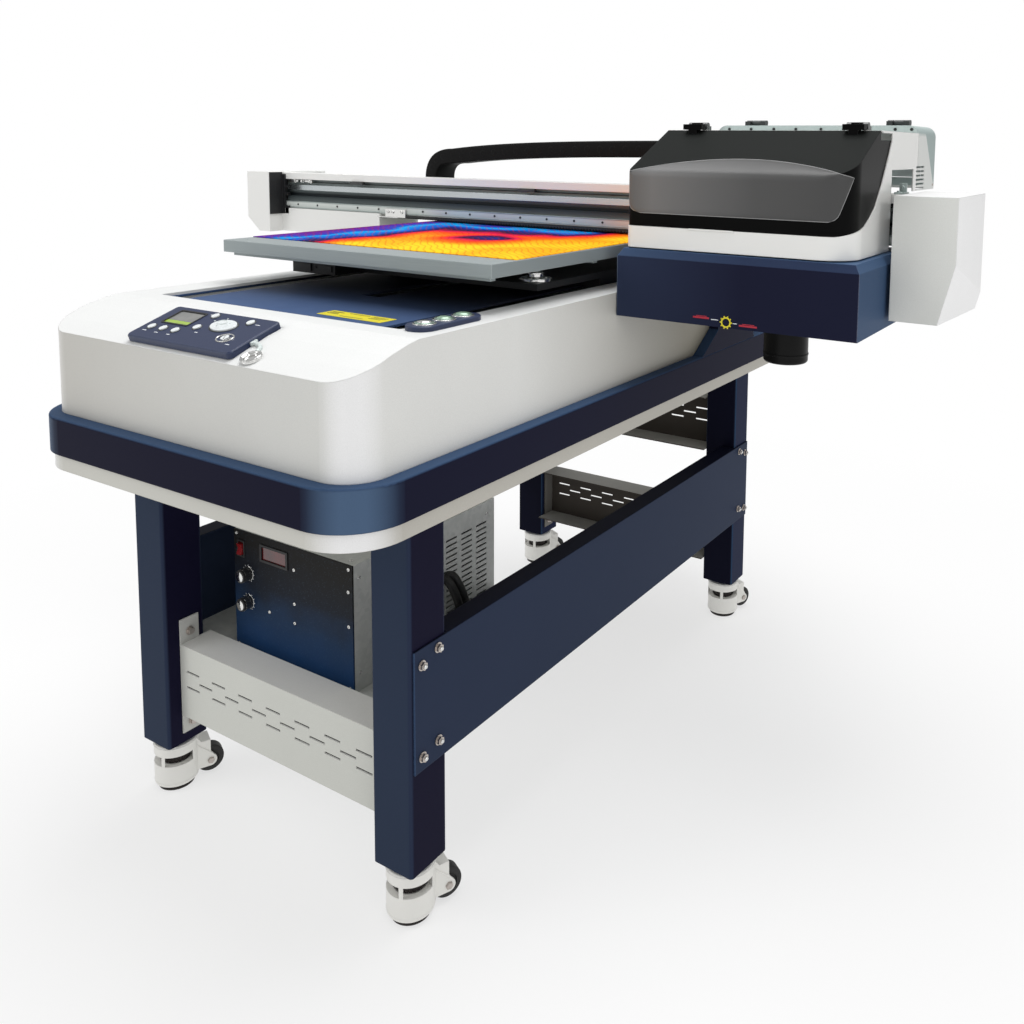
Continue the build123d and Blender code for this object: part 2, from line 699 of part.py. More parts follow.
def rear_lid():
    """Lid over the cover's top and back, hinged along its front edge."""
    x0, x1 = CARRIAGE_X0 + 20, CARRIAGE_X1 - 28
    lid = block(x0, x1, 403, 490, 1255.5, 1258) + block(x0, x1, 487.5, 490, 1151, 1258)
    for x in LID_HINGE_X:
        knuckle = block(x - 10, x + 10, LID_HINGE_Y, 420, 1261, 1267)
        knuckle += rod_x(LID_HINGE_Y, LID_HINGE_Z, x - 10, x + 10, 6)
        knuckle += block(x - 10, x + 10, 406, 420, 1257, 1262)
        lid += knuckle - rod_x(LID_HINGE_Y, LID_HINGE_Z, x - 11, x + 11, 2 + RUNNING)
    return lid


def head_positions():
    """Left edges of the three print heads."""
    return [HEAD_X - 93 + 66 * k for k in range(3)]


def head_plate():
    """Carriage base plate, back plate and the two slide shoes that run on the beam's rail."""
    plate = block(HEAD_X - 150, HEAD_X + 150, -45, 146, 1033, 1039)
    for x in head_positions():
        plate -= block(x - 0.5, x + 54.5, -30.5, 110.5, 1030, 1042)
    for x in (HEAD_X - 145.5, HEAD_X + 108.5):
        plate -= block(x - 0.5, x + 37.5, -30.5, 110.5, 1030, 1042)
    plate += block(HEAD_X - 150, HEAD_X + 150, 144, 152, 1033, 1120)
    for x in (HEAD_X - 120, HEAD_X + 60):
        shoe = block(x, x + 60, 150, 178, 1073, 1099)
        plate += shoe - block(x - 1, x + 61, 167.5, 179, 1079, 1095)
    return plate


def print_heads():
    """Three print heads with their nozzle plates facing down."""
    heads = []
    for x in head_positions():
        head = block(x, x + 54, -30, 110, 1024, 1086) + block(x + 6, x + 48, -20, 100, 1021.5, 1024)
        head += block(x + 8, x + 46, 10, 70, 1086, 1110)
        heads.append(head)
    return bundle(heads)


def uv_lamps():
    """One ultraviolet lamp either side of the heads, with cooling fins."""
    lamps = []
    for x in (HEAD_X - 145.5, HEAD_X + 108.5):
        lamp = block(x, x + 37, -30, 110, 1023, 1096)
        for k in range(9):
            lamp -= block(x - 1, x + 38, -24 + 15 * k, -16 + 15 * k, 1060, 1097)
        lamps.append(lamp)
    return bundle(lamps)


# ---------------------------------------------------------------- maintenance station
def maintenance_box():
    """Blue box beside the body, its top raised on a sloped lip and open under the parked heads."""
    x0, x1 = STATION_X0, STATION_X1
    y0, y1 = STATION_FRONT, STATION_REAR
    z0, z1 = STATION_Z0, STATION_EDGE_Z
    rim = Pos((x0 + x1) / 2, (y0 + y1) / 2, z1) * Rectangle(x1 - x0, y1 - y0)
    box = block(x0, x1, y0, y1, z0, z1) + extrude(rim, STATION_Z1 - z1, taper=STATION_TAPER)
    box -= block(x0 + 3, x1 - 3, y0 + 3, y1 - 3, z0 + 3, z1)
    box -= block(x0 + 13, x1 - 13, y0 + 13, y1 - 13, z1 - 1, STATION_Z1 - 3)
    box -= block(HEAD_X - 176, HEAD_X + 176, -42, 132, STATION_Z1 - 10, STATION_Z1 + 10)
    return box - rod_z(640, 80, STATION_Z0 - 1, STATION_Z0 + 4, 12)


def cap_station():
    """Three rubber-lipped caps on one lifting tray, with two guide posts."""
    tray = block(HEAD_X - 96, HEAD_X + 108, -26, 106, 944, 956)
    for x in head_positions():
        cap = block(x + 3, x + 51, -24, 104, 956, 1002)
        cap -= block(x + 6, x + 48, -21, 101, 992, 1003)
        tray += cap
    for x in (HEAD_X - 40, HEAD_X + 50):
        tray += rod_z(x, 40, 912, 944, 6)
    return tray


def wiper():
    """Wiper blade holder that travels across the nozzle plates."""
    holder = block(HEAD_X - 150, HEAD_X - 116, -34, -6, 900, 990)
    return holder + block(HEAD_X - 148, HEAD_X - 118, -21, -19, 990, 1016)


def waste_bottle():
    """Round black waste-ink bottle hanging below the box."""
    bottle = rod_z(640, 80, 805, STATION_Z0, 42)
    bottle = fillet(bottle.edges().group_by(Axis.Z)[0], 6)
    return bottle + rod_z(640, 80, STATION_Z0, STATION_Z0 + 12, 11.5)


# ---------------------------------------------------------------- ink supply
def ink_case(inset):
    """Cabinet envelope, its lower outer corner cut by a plane that rises towards the front."""
    x0, x1 = INK_X0 + inset, INK_X1 - inset
    case = block(x0, x1, INK_FRONT + inset, INK_REAR - inset, INK_Z0 + inset, INK_Z1 - inset)
    cut = Plane(origin=(INK_X1 - inset, INK_FRONT, INK_CUT_Z), z_dir=INK_CUT_NORMAL)
    return case - cut * Pos(0, 0, 300) * Box(900, 900, 600)


def ink_box():
    """White sheet-metal ink cabinet on a spacer at the beam's right end."""
    cabinet = ink_case(0) - ink_case(2.5)
    return cabinet + block(BEAM_RIGHT, INK_X0, 175, 285, 1040, 1110)


def ink_bottles():
    """Six ink bottles in two rows inside the cabinet."""
    bottles = []
    for x in (862, 903):
        for y in (108, 180, 252):
            z0 = INK_Z0 + 3 if x == 862 else 985
            bottles.append(rod_z(x, y, z0, 1085, 18) + rod_z(x, y, 1085, 1105, 9))
    shelf_plate = block(884, 932, 85, 275, 981, 985)
    return bundle(bottles + [shelf_plate])


# ---------------------------------------------------------------- controls
def console():
    """Console housing on the sloped front, with wells for the keys and a display window."""
    body = extrude(RectangleRounded(2 * CONSOLE_HALF_X, 2 * CONSOLE_HALF_Y, 8), CONSOLE_THICKNESS)
    body = chamfer(body.edges().group_by(Axis.Z)[-1], 2)
    for x, y in KEYS:
        body -= rod_z(x, y, 4, 20, KEY_RADIUS + 0.4)
    well = Ellipse(DIAL_RADII[0] + 0.4, DIAL_RADII[1] + 0.4)
    body -= Pos(DIAL[0], DIAL[1], 4) * extrude(well, 20)
    body -= Pos(-66, 18, CONSOLE_THICKNESS - 1.5) * extrude(RectangleRounded(62, 38, 3), 5)
    return CONSOLE * body


def console_keys():
    """Seven round keys of one rubber mat."""
    keys = [rod_z(x, y, 6.5, CONSOLE_THICKNESS + 2, KEY_RADIUS) for x, y in KEYS]
    return bundle([CONSOLE * key for key in keys])


def console_dial():
    """Large oval navigation key."""
    dial = Pos(DIAL[0], DIAL[1], 6.5) * extrude(Ellipse(*DIAL_RADII), CONSOLE_THICKNESS - 3.5)
    return CONSOLE * fillet(dial.edges().group_by(Axis.Z)[-1], 1.2)


def button_pad():
    """Pill-shaped pad on the right rim of the body."""
    pad = Pos(PAD_X, PAD_Y, TOP_Z) * Rot(0, 0, 90) * extrude(SlotOverall(148, 50), 8)
    pad = chamfer(pad.edges().group_by(Axis.Z)[-1], 1.5)
    for k in PAD_BUTTONS.values():
        pad -= rod_z(PAD_X, PAD_Y + k * PAD_BUTTON_STEP, TOP_Z + 2, TOP_Z + 20, 15.4)
    return pad


def pad_button(k):
    """One push button of the pad."""
    button = rod_z(PAD_X, PAD_Y + k * PAD_BUTTON_STEP, TOP_Z + 4.5, TOP_Z + 11, 15)
    return fillet(button.edges().group_by(Axis.Z)[-1], 1.5)


# ---------------------------------------------------------------- lamp driver
def driver_box():
    """Galvanised case with three columns of louvre slots near the rear of its right side."""
    y0 = DRIVER_FRONT + 3
    case = block(DRIVER_X0, DRIVER_X1, y0, DRIVER_REAR, DRIVER_Z0, DRIVER_Z1)
    case -= block(DRIVER_X0 + 2, DRIVER_X1 - 2, y0 - 1, DRIVER_REAR - 2, DRIVER_Z0 + 2, DRIVER_Z1 - 2)
    for column in range(3):
        y = -282 + 45 * column
        for row in range(14):
            z = 308 + 11 * row
            case -= block(DRIVER_X1 - 3, DRIVER_X1 + 1, y, y + 32, z, z + 4)
    return case


def driver_panel():
    """Front panel with holes for two knob shafts, the rocker and the display."""
    panel = block(DRIVER_X0, DRIVER_X1, DRIVER_FRONT, DRIVER_FRONT + 3, DRIVER_Z0, DRIVER_Z1)
    for z in KNOB_Z.values():
        panel -= rod_y(KNOB_X, z, DRIVER_FRONT - 1, DRIVER_FRONT + 4, 4 + RUNNING)
    y0 = DRIVER_FRONT - 1
    y1 = DRIVER_FRONT + 4
    panel -= block(ROCKER_X - 7, ROCKER_X + 7, y0, y1, ROCKER_Z - 12, ROCKER_Z + 12)
    panel -= block(-122, -56, y0, y1, 452, 478)
    return panel


def driver_knob(z):
    """Control knob with a flat pointer rib, on its shaft."""
    knob = rod_y(KNOB_X, z, DRIVER_FRONT - 20, DRIVER_FRONT - 2, 12)
    knob = fillet(knob.edges().group_by(Axis.Y)[0], 2)
    knob += block(KNOB_X - 1.2, KNOB_X + 1.2, DRIVER_FRONT - 21, DRIVER_FRONT - 10, z + 2, z + 11)
    return knob + rod_y(KNOB_X, z, DRIVER_FRONT - 3, DRIVER_FRONT + 12, 4)


def driver_rocker():
    """Rocker switch paddle."""
    outline = [
        (DRIVER_FRONT - 7, ROCKER_Z - 10),
        (DRIVER_FRONT - 3, ROCKER_Z),
        (DRIVER_FRONT - 7, ROCKER_Z + 10),
        (DRIVER_FRONT + 4, ROCKER_Z + 10),
        (DRIVER_FRONT + 4, ROCKER_Z - 10),
    ]
    return along_x(outline, ROCKER_X - 6, ROCKER_X + 6)


# ---------------------------------------------------------------- all nodes
def build_nodes():
    """Node name to shape."""
    nodes = {
        "legs": bundle([leg(x, y) for x, y in CORNERS.values()]),
        "side_rails": bundle(mirrored(side_rail())),
        "front_crossbar": crossbar(CROSSBAR_Z0),
        "rear_crossbars": bundle([rear_crossbar(z) for z in (CROSSBAR_Z0, UPPER_CROSSBAR_Z0)]),
        "equipment_shelf": shelf(),
        "frame_bolts": frame_bolts(),
        "under_tray": under_tray(),
        "blue_band": blue_band(),
        "upper_shell": upper_shell(),
        "deck_panel": deck_panel(),
        "y_rails": y_rails(),
        "y_screw": y_screw(),
        "y_motor": y_motor(),
        "table_saddle": table_saddle(),
        "levelling_posts": bundle([levelling_post(x, y) for x, y in POSTS]),
        "platen": platen(),
        "print_sheet": print_sheet(),
        "beam": beam(),
        "beam_end_cap": beam_end_cap(),
        "x_rail": x_rail(),
        "x_belt": x_belt(),
        "chain_bend": chain_bend(),
        "chain_upper_run": chain_upper_run(),
        "carriage_shell": carriage_shell(),
        "visor": visor(),
        "rear_cover": rear_cover(),
        "rear_lid": rear_lid(),
        "head_plate": head_plate(),
        "print_heads": print_heads(),
        "uv_lamps": uv_lamps(),
        "maintenance_box": maintenance_box(),
        "cap_station": cap_station(),
        "wiper": wiper(),
        "waste_bottle": waste_bottle(),
        "ink_box": ink_box(),
        "ink_bottles": ink_bottles(),
        "console": console(),
        "console_keys": console_keys(),
        "console_dial": console_dial(),
        "button_pad": button_pad(),
        "driver_box": driver_box(),
        "driver_panel": driver_panel(),
        "driver_rocker": driver_rocker(),
    }
    for name, (x, y) in CORNERS.items():
        place = Pos(x, y, 0) * Rot(0, 0, CASTER_ANGLE)
        nodes["caster_fork_" + name] = place * caster_fork()
        nodes["caster_wheel_" + name] = place * caster_wheel()
        nodes["levelling_foot_" + name] = place * levelling_foot()
    for name, k in PAD_BUTTONS.items():
        nodes["pad_button_" + name] = pad_button(k)
    for name, z in KNOB_Z.items():
        nodes["driver_knob_" + name] = driver_knob(z)
    return nodes


os.makedirs("parts", exist_ok=True)
for node_name, shape in build_nodes().items():
    export_step(shape, f"parts/{node_name}.step")
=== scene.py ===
"""Looks of the flatbed UV printer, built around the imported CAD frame.

Details are drawn in millimetres and become metres when a piece is finished. Materials work in metres.
"""

import json
import math

import bmesh
import bpy
from mathutils import Matrix, Vector


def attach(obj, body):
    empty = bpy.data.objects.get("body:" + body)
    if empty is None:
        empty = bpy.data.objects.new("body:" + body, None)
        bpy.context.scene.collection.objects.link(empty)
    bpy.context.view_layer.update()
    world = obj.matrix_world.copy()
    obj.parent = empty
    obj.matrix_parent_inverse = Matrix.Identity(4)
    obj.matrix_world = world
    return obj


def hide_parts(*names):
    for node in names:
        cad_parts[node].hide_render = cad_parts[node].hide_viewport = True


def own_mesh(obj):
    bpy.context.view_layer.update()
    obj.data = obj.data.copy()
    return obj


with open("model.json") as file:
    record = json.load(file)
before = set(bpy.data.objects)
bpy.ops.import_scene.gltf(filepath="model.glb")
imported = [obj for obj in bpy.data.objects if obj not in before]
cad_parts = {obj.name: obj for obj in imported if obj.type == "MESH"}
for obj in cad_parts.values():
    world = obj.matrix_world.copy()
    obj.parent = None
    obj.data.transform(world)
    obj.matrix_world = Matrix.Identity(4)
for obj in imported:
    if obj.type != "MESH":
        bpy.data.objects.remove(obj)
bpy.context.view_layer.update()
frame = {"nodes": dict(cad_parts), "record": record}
NODES = frame["nodes"]
MM = 0.001
X, Y, Z = 0, 1, 2


# ---------------------------------------------------------------- materials
def srgb(r, g, b):
    """Linear colour of an 8-bit display colour."""
    shares = [value / 255 for value in (r, g, b)]
    return (*[c / 12.92 if c <= 0.04045 else ((c + 0.055) / 1.055) ** 2.4 for c in shares], 1.0)


def scaled(colour, factor, most=1.0, lift=0.0):
    return (*[min(most, c * factor + lift) for c in colour[:3]], 1.0)


BLACK = (0.0, 0.0, 0.0, 1.0)
HINGE_DARK = srgb(50, 53, 53)
GRAIN = 900.0
HOOD_TOP, COVER_TOP = 1.2424, 1.2584


class Nodes:
    """Short forms for building one material's node tree."""

    def __init__(self, name, source=None):
        """A new material, or a copy of the source one."""
        self.material = source.copy() if source else bpy.data.materials.new(name)
        self.material.name = name
        self.material.use_nodes = True
        self.tree = self.material.node_tree
        self.shader = next(n for n in self.tree.nodes if n.type == "BSDF_PRINCIPLED")
        self.coords = self.add("ShaderNodeTexCoord").outputs["Object"]

    def add(self, kind, **settings):
        node = self.tree.nodes.new(kind)
        for key, value in settings.items():
            setattr(node, key, value)
        return node

    def link(self, a, b):
        self.tree.links.new(a, b)

    def feed(self, socket, value):
        if isinstance(value, bpy.types.NodeSocket):
            self.link(value, socket)
        elif value is not None:
            socket.default_value = value

    def look(self, colour, rough, specular=None, metal=None):
        """Colour, roughness and reflections of the shader, each a value or a socket."""
        names = ("Base Color", "Roughness", "Specular IOR Level", "Metallic")
        for name, value in zip(names, (colour, rough, specular, metal)):
            self.feed(self.shader.inputs[name], value)

    def stretch(self, scale, turn=(0, 0, 0)):
        node = self.add("ShaderNodeMapping")
        node.inputs["Scale"].default_value = scale
        node.inputs["Rotation"].default_value = turn
        self.link(self.coords, node.inputs["Vector"])
        return node.outputs["Vector"]

    def noise(self, scale, detail=3.0, vector=None, distortion=0.0):
        node = self.add("ShaderNodeTexNoise")
        node.inputs["Scale"].default_value = scale
        node.inputs["Detail"].default_value = detail
        node.inputs["Distortion"].default_value = distortion
        self.link(vector or self.coords, node.inputs["Vector"])
        return node.outputs["Fac"]

    def span(self, value, low, high, to_low=0.0, to_high=1.0):
        node = self.add("ShaderNodeMapRange")
        self.link(value, node.inputs["Value"])
        for key, number in zip(("From Min", "From Max", "To Min", "To Max"), (low, high, to_low, to_high)):
            node.inputs[key].default_value = number
        return node.outputs["Result"]

    def math(self, operation, a, b=None):
        node = self.add("ShaderNodeMath", operation=operation)
        self.feed(node.inputs[0], a)
        self.feed(node.inputs[1], b)
        return node.outputs[0]

    def vector_math(self, operation, a, b=None):
        node = self.add("ShaderNodeVectorMath", operation=operation)
        self.feed(node.inputs[0], a)
        self.feed(node.inputs[1], b)
        return node.outputs["Value"]

    def mix(self, factor, a, b, blend="MIX"):
        node = self.add("ShaderNodeMix", data_type="RGBA", blend_type=blend)
        self.feed(node.inputs[0], factor)
        self.feed(node.inputs[6], a)
        self.feed(node.inputs[7], b)
        return node.outputs[2]

    def axis(self, index, source=None):
        node = self.add("ShaderNodeSeparateXYZ")
        self.link(source or self.coords, node.inputs[0])
        return node.outputs[index]

    def ramp(self, value, stops):
        node = self.add("ShaderNodeValToRGB")
        elements = node.color_ramp.elements
        while len(elements) < len(stops):
            elements.new(0.5)
        for element, (place, colour) in zip(elements, stops):
            element.position = place
            element.color = colour
        self.link(value, node.inputs[0])
        return node.outputs["Color"]

    def rounded(self, radius):
        """Normal softened at edges, as by a round of this radius in millimetres."""
        node = self.add("ShaderNodeBevel")
        node.samples = 6
        node.inputs["Radius"].default_value = radius * MM
        return node.outputs["Normal"]

    def facing(self, radius, front, side, corner, top):
        """Painted light and shade: colour by where a softened face looks, front or back, sideways, round a
        corner, up.
        """
        normal = self.rounded(radius)
        across = self.math("ABSOLUTE", self.axis(X, normal))
        along = self.math("ABSOLUTE", self.axis(Y, normal))
        colour = self.mix(self.span(across, 0.2, 0.9), front, side)
        colour = self.mix(self.span(self.math("MULTIPLY", across, along), 0.04, 0.47), colour, corner)
        return self.mix(self.span(self.axis(Z, normal), 0.25, 0.9), colour, top)

    def edge_mask(self, radius):
        """1 on convex and concave edges within the radius, 0 on flats."""
        normal = self.add("ShaderNodeNewGeometry").outputs["Normal"]
        return self.span(self.vector_math("DOT_PRODUCT", self.rounded(radius), normal), 0.99, 0.80)

    def relief(self, height, bump, edge):
        """The finished material, with faint bumps and softened edges."""
        node = self.add("ShaderNodeBump")
        node.inputs["Strength"].default_value = bump
        node.inputs["Distance"].default_value = 0.0004
        self.link(height, node.inputs["Height"])
        self.link(self.rounded(edge), node.inputs["Normal"])
        self.link(node.outputs["Normal"], self.shader.inputs["Normal"])
        return self.material


def surface(name, colour, rough=0.5, metal=0.0, coat=0.0, edge=0.8, edge_highlight=0.25, edge_highlight_colour=None,
            cloud=0.05, cloud_scale=4.0, bump=0.04, streak=None, specular=0.5):
    """Painted, moulded or metal finish: cloudy colour, fine grain, softened edges with a painted highlight on
    them.
    """
    n = Nodes(name)
    colour = srgb(*colour)
    # colour of the painted edge highlight: the one given, or the paint made paler
    highlighted = srgb(*edge_highlight_colour) if edge_highlight_colour else scaled(colour, 1.7, lift=0.05)
    grains = n.noise(GRAIN, 2.0, n.stretch(streak) if streak else None)
    base = n.mix(n.noise(cloud_scale, 4.0), scaled(colour, 1 - cloud), scaled(colour, 1 + cloud))
    base = n.mix(n.span(grains, 0.3, 0.7, 0, 0.10 if streak else 0.04), base, scaled(colour, 0.55))
    # painted highlight: paler colour on convex and concave edges
    base = n.mix(n.math("MULTIPLY", n.edge_mask(edge), edge_highlight), base, highlighted)
    n.look(base, n.span(grains, 0.25, 0.75, rough * 0.88, min(1.0, rough * 1.12)), specular, metal)
    n.shader.inputs["Coat Weight"].default_value = coat
    n.shader.inputs["Coat Roughness"].default_value = 0.12
    return n.relief(grains, bump, edge)


def paint_with_painted_light(name, front, side, corner, top, rough=0.45, edge=2.5, light=(0.9, 0.84, 0.8, 1.15), light_and_shade_tones=(),
                specular=0.03):
    """Paint with painted light and shade: its colour follows the face's direction, as a large soft light
    falls on a satin coat.

    The four display colours are shown by faces under the four amounts of light. A tone is (axis a face looks
    along, axis of places, where it starts, where it is full, display colour that multiplies the paint). Tones
    are painted shade along a piece, or painted light where the display colour is above white.
    """
    n = Nodes(name)
    paints = [scaled(srgb(*tone), 1 / power, 0.95) for tone, power in zip((front, side, corner, top), light)]
    # painted light and shade by the direction each face looks
    base = n.facing(edge, *paints)
    # painted shade, or painted light, that changes along the piece
    for facing, index, low, high, colour in light_and_shade_tones:
        turned = n.math("ABSOLUTE", n.axis(facing, n.rounded(edge)))
        share = n.math("MULTIPLY", n.span(n.axis(index), low, high), n.span(turned, 0.5, 0.95))
        base = n.mix(share, base, srgb(*colour), "MULTIPLY")
    base = n.mix(n.span(n.noise(4.0, 4.0), 0.3, 0.7, 0.0, 0.05), base, BLACK)
    grains = n.noise(GRAIN, 2.0)
    base = n.mix(n.span(grains, 0.3, 0.7, 0.0, 0.08), base, BLACK)
    n.look(base, n.span(grains, 0.25, 0.75, rough * 0.9, rough * 1.1), specular)
    return n.relief(grains, 0.03, edge)


WHITE = (238, 238, 235)
LENGTHWISE = (0.03, 1, 1)
# the edge highlight amounts and colours are painted highlights on edges, such as the pale edges of the
# platen, chain and console
FINISHES = {
    "white_paint": dict(colour=WHITE, rough=0.38, coat=0.15, edge=1.2, edge_highlight=0.3, cloud=0.02),
    "pale_grey_paint": dict(colour=(205, 214, 212), rough=0.4, coat=0.1, cloud=0.03),
    "white_plastic": dict(colour=WHITE, rough=0.24, coat=0.35, edge=2.5, edge_highlight=0.2, cloud=0.015),
    "bolt_steel": dict(colour=(190, 182, 176), rough=0.3, metal=1.0, edge=0.5, cloud=0.2, cloud_scale=60,
                       streak=(1, 1, 1)),
    "rail_steel": dict(colour=(196, 202, 204), rough=0.22, metal=1.0, streak=(0.02, 1, 1)),
    "black_paint": dict(colour=(26, 27, 29), rough=0.55, edge_highlight=0.3, bump=0.12),
    "chrome_parts": dict(colour=(222, 222, 220), rough=0.12, metal=1.0, cloud=0.06, cloud_scale=40),
    "platen_aluminium": dict(colour=(156, 165, 166), rough=0.42, metal=0.35, edge=1.0, edge_highlight=0.7,
                             edge_highlight_colour=(232, 238, 238), streak=LENGTHWISE, cloud=0.06),
    "beam_aluminium": dict(colour=(176, 188, 186), rough=0.34, metal=0.75, streak=(0.01, 1, 1), cloud=0.08,
                           edge_highlight=0.4),
    "belt_rubber": dict(colour=(22, 22, 22), rough=0.75, bump=0.3),
    "chain_plastic": dict(colour=(12, 12, 12), rough=0.55, edge=1.6, edge_highlight_colour=(74, 74, 72), specular=0.12),
    "cap_rubber": dict(colour=(40, 40, 42), rough=0.7, bump=0.2),
    "bottle_plastic": dict(colour=(10, 10, 10), rough=0.35, edge=1.2, bump=0.05, specular=0.15),
    "console_plastic": dict(colour=(26, 40, 74), rough=0.45, coat=0.05, edge=1.4, edge_highlight=0.5,
                            edge_highlight_colour=(104, 128, 170)),
    "key_plastic": dict(colour=(226, 231, 232), rough=0.26, coat=0.5, cloud=0.03, cloud_scale=60),
    "button_metal": dict(colour=(150, 172, 158), rough=0.24, metal=0.7, coat=0.5, cloud_scale=80, cloud=0.2),
    "rocker_plastic": dict(colour=(126, 24, 28), rough=0.25, coat=0.4),
    "knob_plastic": dict(colour=(30, 30, 31), rough=0.45, bump=0.15),
    "caster_paint": dict(colour=(232, 231, 226), rough=0.42, coat=0.1, edge=1.2, bump=0.1),
    "wheel_rubber": dict(colour=(24, 24, 24), rough=0.6, bump=0.25, cloud_scale=70, cloud=0.2),
    "foot_rubber": dict(colour=(34, 27, 26), rough=0.7, bump=0.3, cloud_scale=80, cloud=0.2),
    "dark_plastic": dict(colour=(56, 58, 58), rough=0.42, edge_highlight=0.4, bump=0.1),
    "dark_metal": dict(colour=(52, 56, 56), rough=0.4, metal=0.6, edge=0.6, streak=(0.05, 1, 1)),
    "hose_black": dict(colour=(20, 20, 21), bump=0.2),
    "label_yellow": dict(colour=(222, 208, 40), rough=0.4, cloud=0.08, cloud_scale=50),
    "mark_red": dict(colour=(176, 30, 52), rough=0.4, cloud=0.1, cloud_scale=90),
    "mark_white": dict(colour=(228, 232, 236), rough=0.4, cloud=0.03, cloud_scale=90),
    "mark_black": dict(colour=(30, 32, 30), rough=0.4, cloud=0.1, cloud_scale=90),
    "rim_grey": dict(colour=(150, 150, 150), rough=0.3, coat=0.3),
    "pad_lens": dict(colour=(140, 172, 146), rough=0.16, metal=0.3, coat=0.8, cloud=0.25, cloud_scale=120),
}
M = {name: surface(name, **finish) for name, finish in FINISHES.items()}


def galvanised():
    """Zinc-coated sheet with faint spangle."""
    n = Nodes("galvanised")
    cells = n.add("ShaderNodeTexVoronoi", feature="F1")
    cells.inputs["Scale"].default_value = 120
    n.link(n.coords, cells.inputs["Vector"])
    tone = n.axis(X, cells.outputs["Color"])
    colour = n.mix(tone, srgb(200, 203, 201), srgb(212, 214, 212))
    n.look(colour, n.span(tone, 0, 1, 0.34, 0.5), metal=0.2)
    return n.relief(n.noise(700), 0.04, 0.6)


def deck_paint():
    """Blue deck with painted shade: lighter at the front, darker where the table stands over it."""
    n = Nodes("deck_paint")
    y = n.math("ADD", n.axis(Y), n.span(n.noise(3.0), 0, 1, -0.03, 0.03))
    # painted shade: darker from the front edge back under the table
    colour = n.mix(n.span(y, -0.56, -0.30), srgb(62, 84, 122), srgb(40, 44, 56))
    colour = n.mix(n.span(n.noise(500), 0.4, 0.7, 0, 0.12), colour, srgb(16, 20, 34))
    n.look(colour, n.span(n.noise(30), 0, 1, 0.5, 0.6), 0.1)
    return n.relief(n.noise(800), 0.05, 1.0)


def panel_paint():
    """Driver panel: near-black at the top, fading to speckled blue."""
    n = Nodes("panel_paint")
    z = n.math("ADD", n.axis(Z), n.span(n.noise(14.0), 0, 1, -0.035, 0.035))
    colour = n.ramp(n.span(z, 0.28, 0.47), [(0.0, srgb(22, 56, 98)), (0.35, srgb(20, 46, 76)),
                                          (0.62, srgb(17, 24, 36)), (1.0, srgb(22, 21, 20))])
    colour = n.mix(n.span(n.noise(420, 1.0), 0.62, 0.72, 0, 0.06), colour, srgb(120, 150, 180))
    n.look(colour, 0.5, 0.15)
    return n.relief(n.noise(700), 0.08, 0.6)


def visor_paint():
    """Black moulding: satin on the raked top, gloss on the upright front and cheeks; painted light makes the
    raked top and the edges paler.
    """
    n = Nodes("visor_plastic")
    normal = n.add("ShaderNodeTexCoord").outputs["Normal"]
    top = n.span(n.axis(Z, normal), 0.25, 0.75)
    # painted light: upward faces paler grey than the near-black front and cheeks
    colour = n.mix(top, srgb(4, 4, 4), srgb(32, 34, 33))
    # painted highlight on the edges
    colour = n.mix(n.math("MULTIPLY", n.edge_mask(1.4), 0.35), colour, srgb(96, 98, 98))
    colour = n.mix(n.span(n.noise(5), 0.3, 0.7, 0, 0.15), colour, srgb(30, 31, 31))
    n.look(colour, n.span(top, 0, 1, 0.3, 0.5), n.span(top, 0, 1, 0.06, 0.02))
    return n.relief(n.noise(GRAIN), 0.03, 1.6)


def visor_panel_paint():
    """Smoked panel with a painted reflection: paler towards the left, darker on the upper part that leans
    back.
    """
    n = Nodes("visor_panel")
    # painted reflection: paler towards the left
    colour = n.ramp(n.span(n.axis(X), 0.37, 0.81), [(0.0, srgb(92, 92, 92)), (0.14, srgb(118, 118, 118)),
                                                  (0.6, srgb(84, 84, 84)), (1.0, srgb(72, 72, 72))])
    # painted reflection: darker on the upper part that leans back
    colour = n.mix(n.span(n.axis(Z), 1.160, 1.186, 0, 0.45), colour, srgb(60, 60, 60))
    colour = n.mix(n.span(n.noise(6), 0.3, 0.7, 0, 0.08), colour, srgb(60, 60, 60))
    n.look(colour, n.span(n.noise(GRAIN), 0, 1, 0.34, 0.42), 0.2)
    return n.relief(n.noise(GRAIN), 0.02, 0.8)


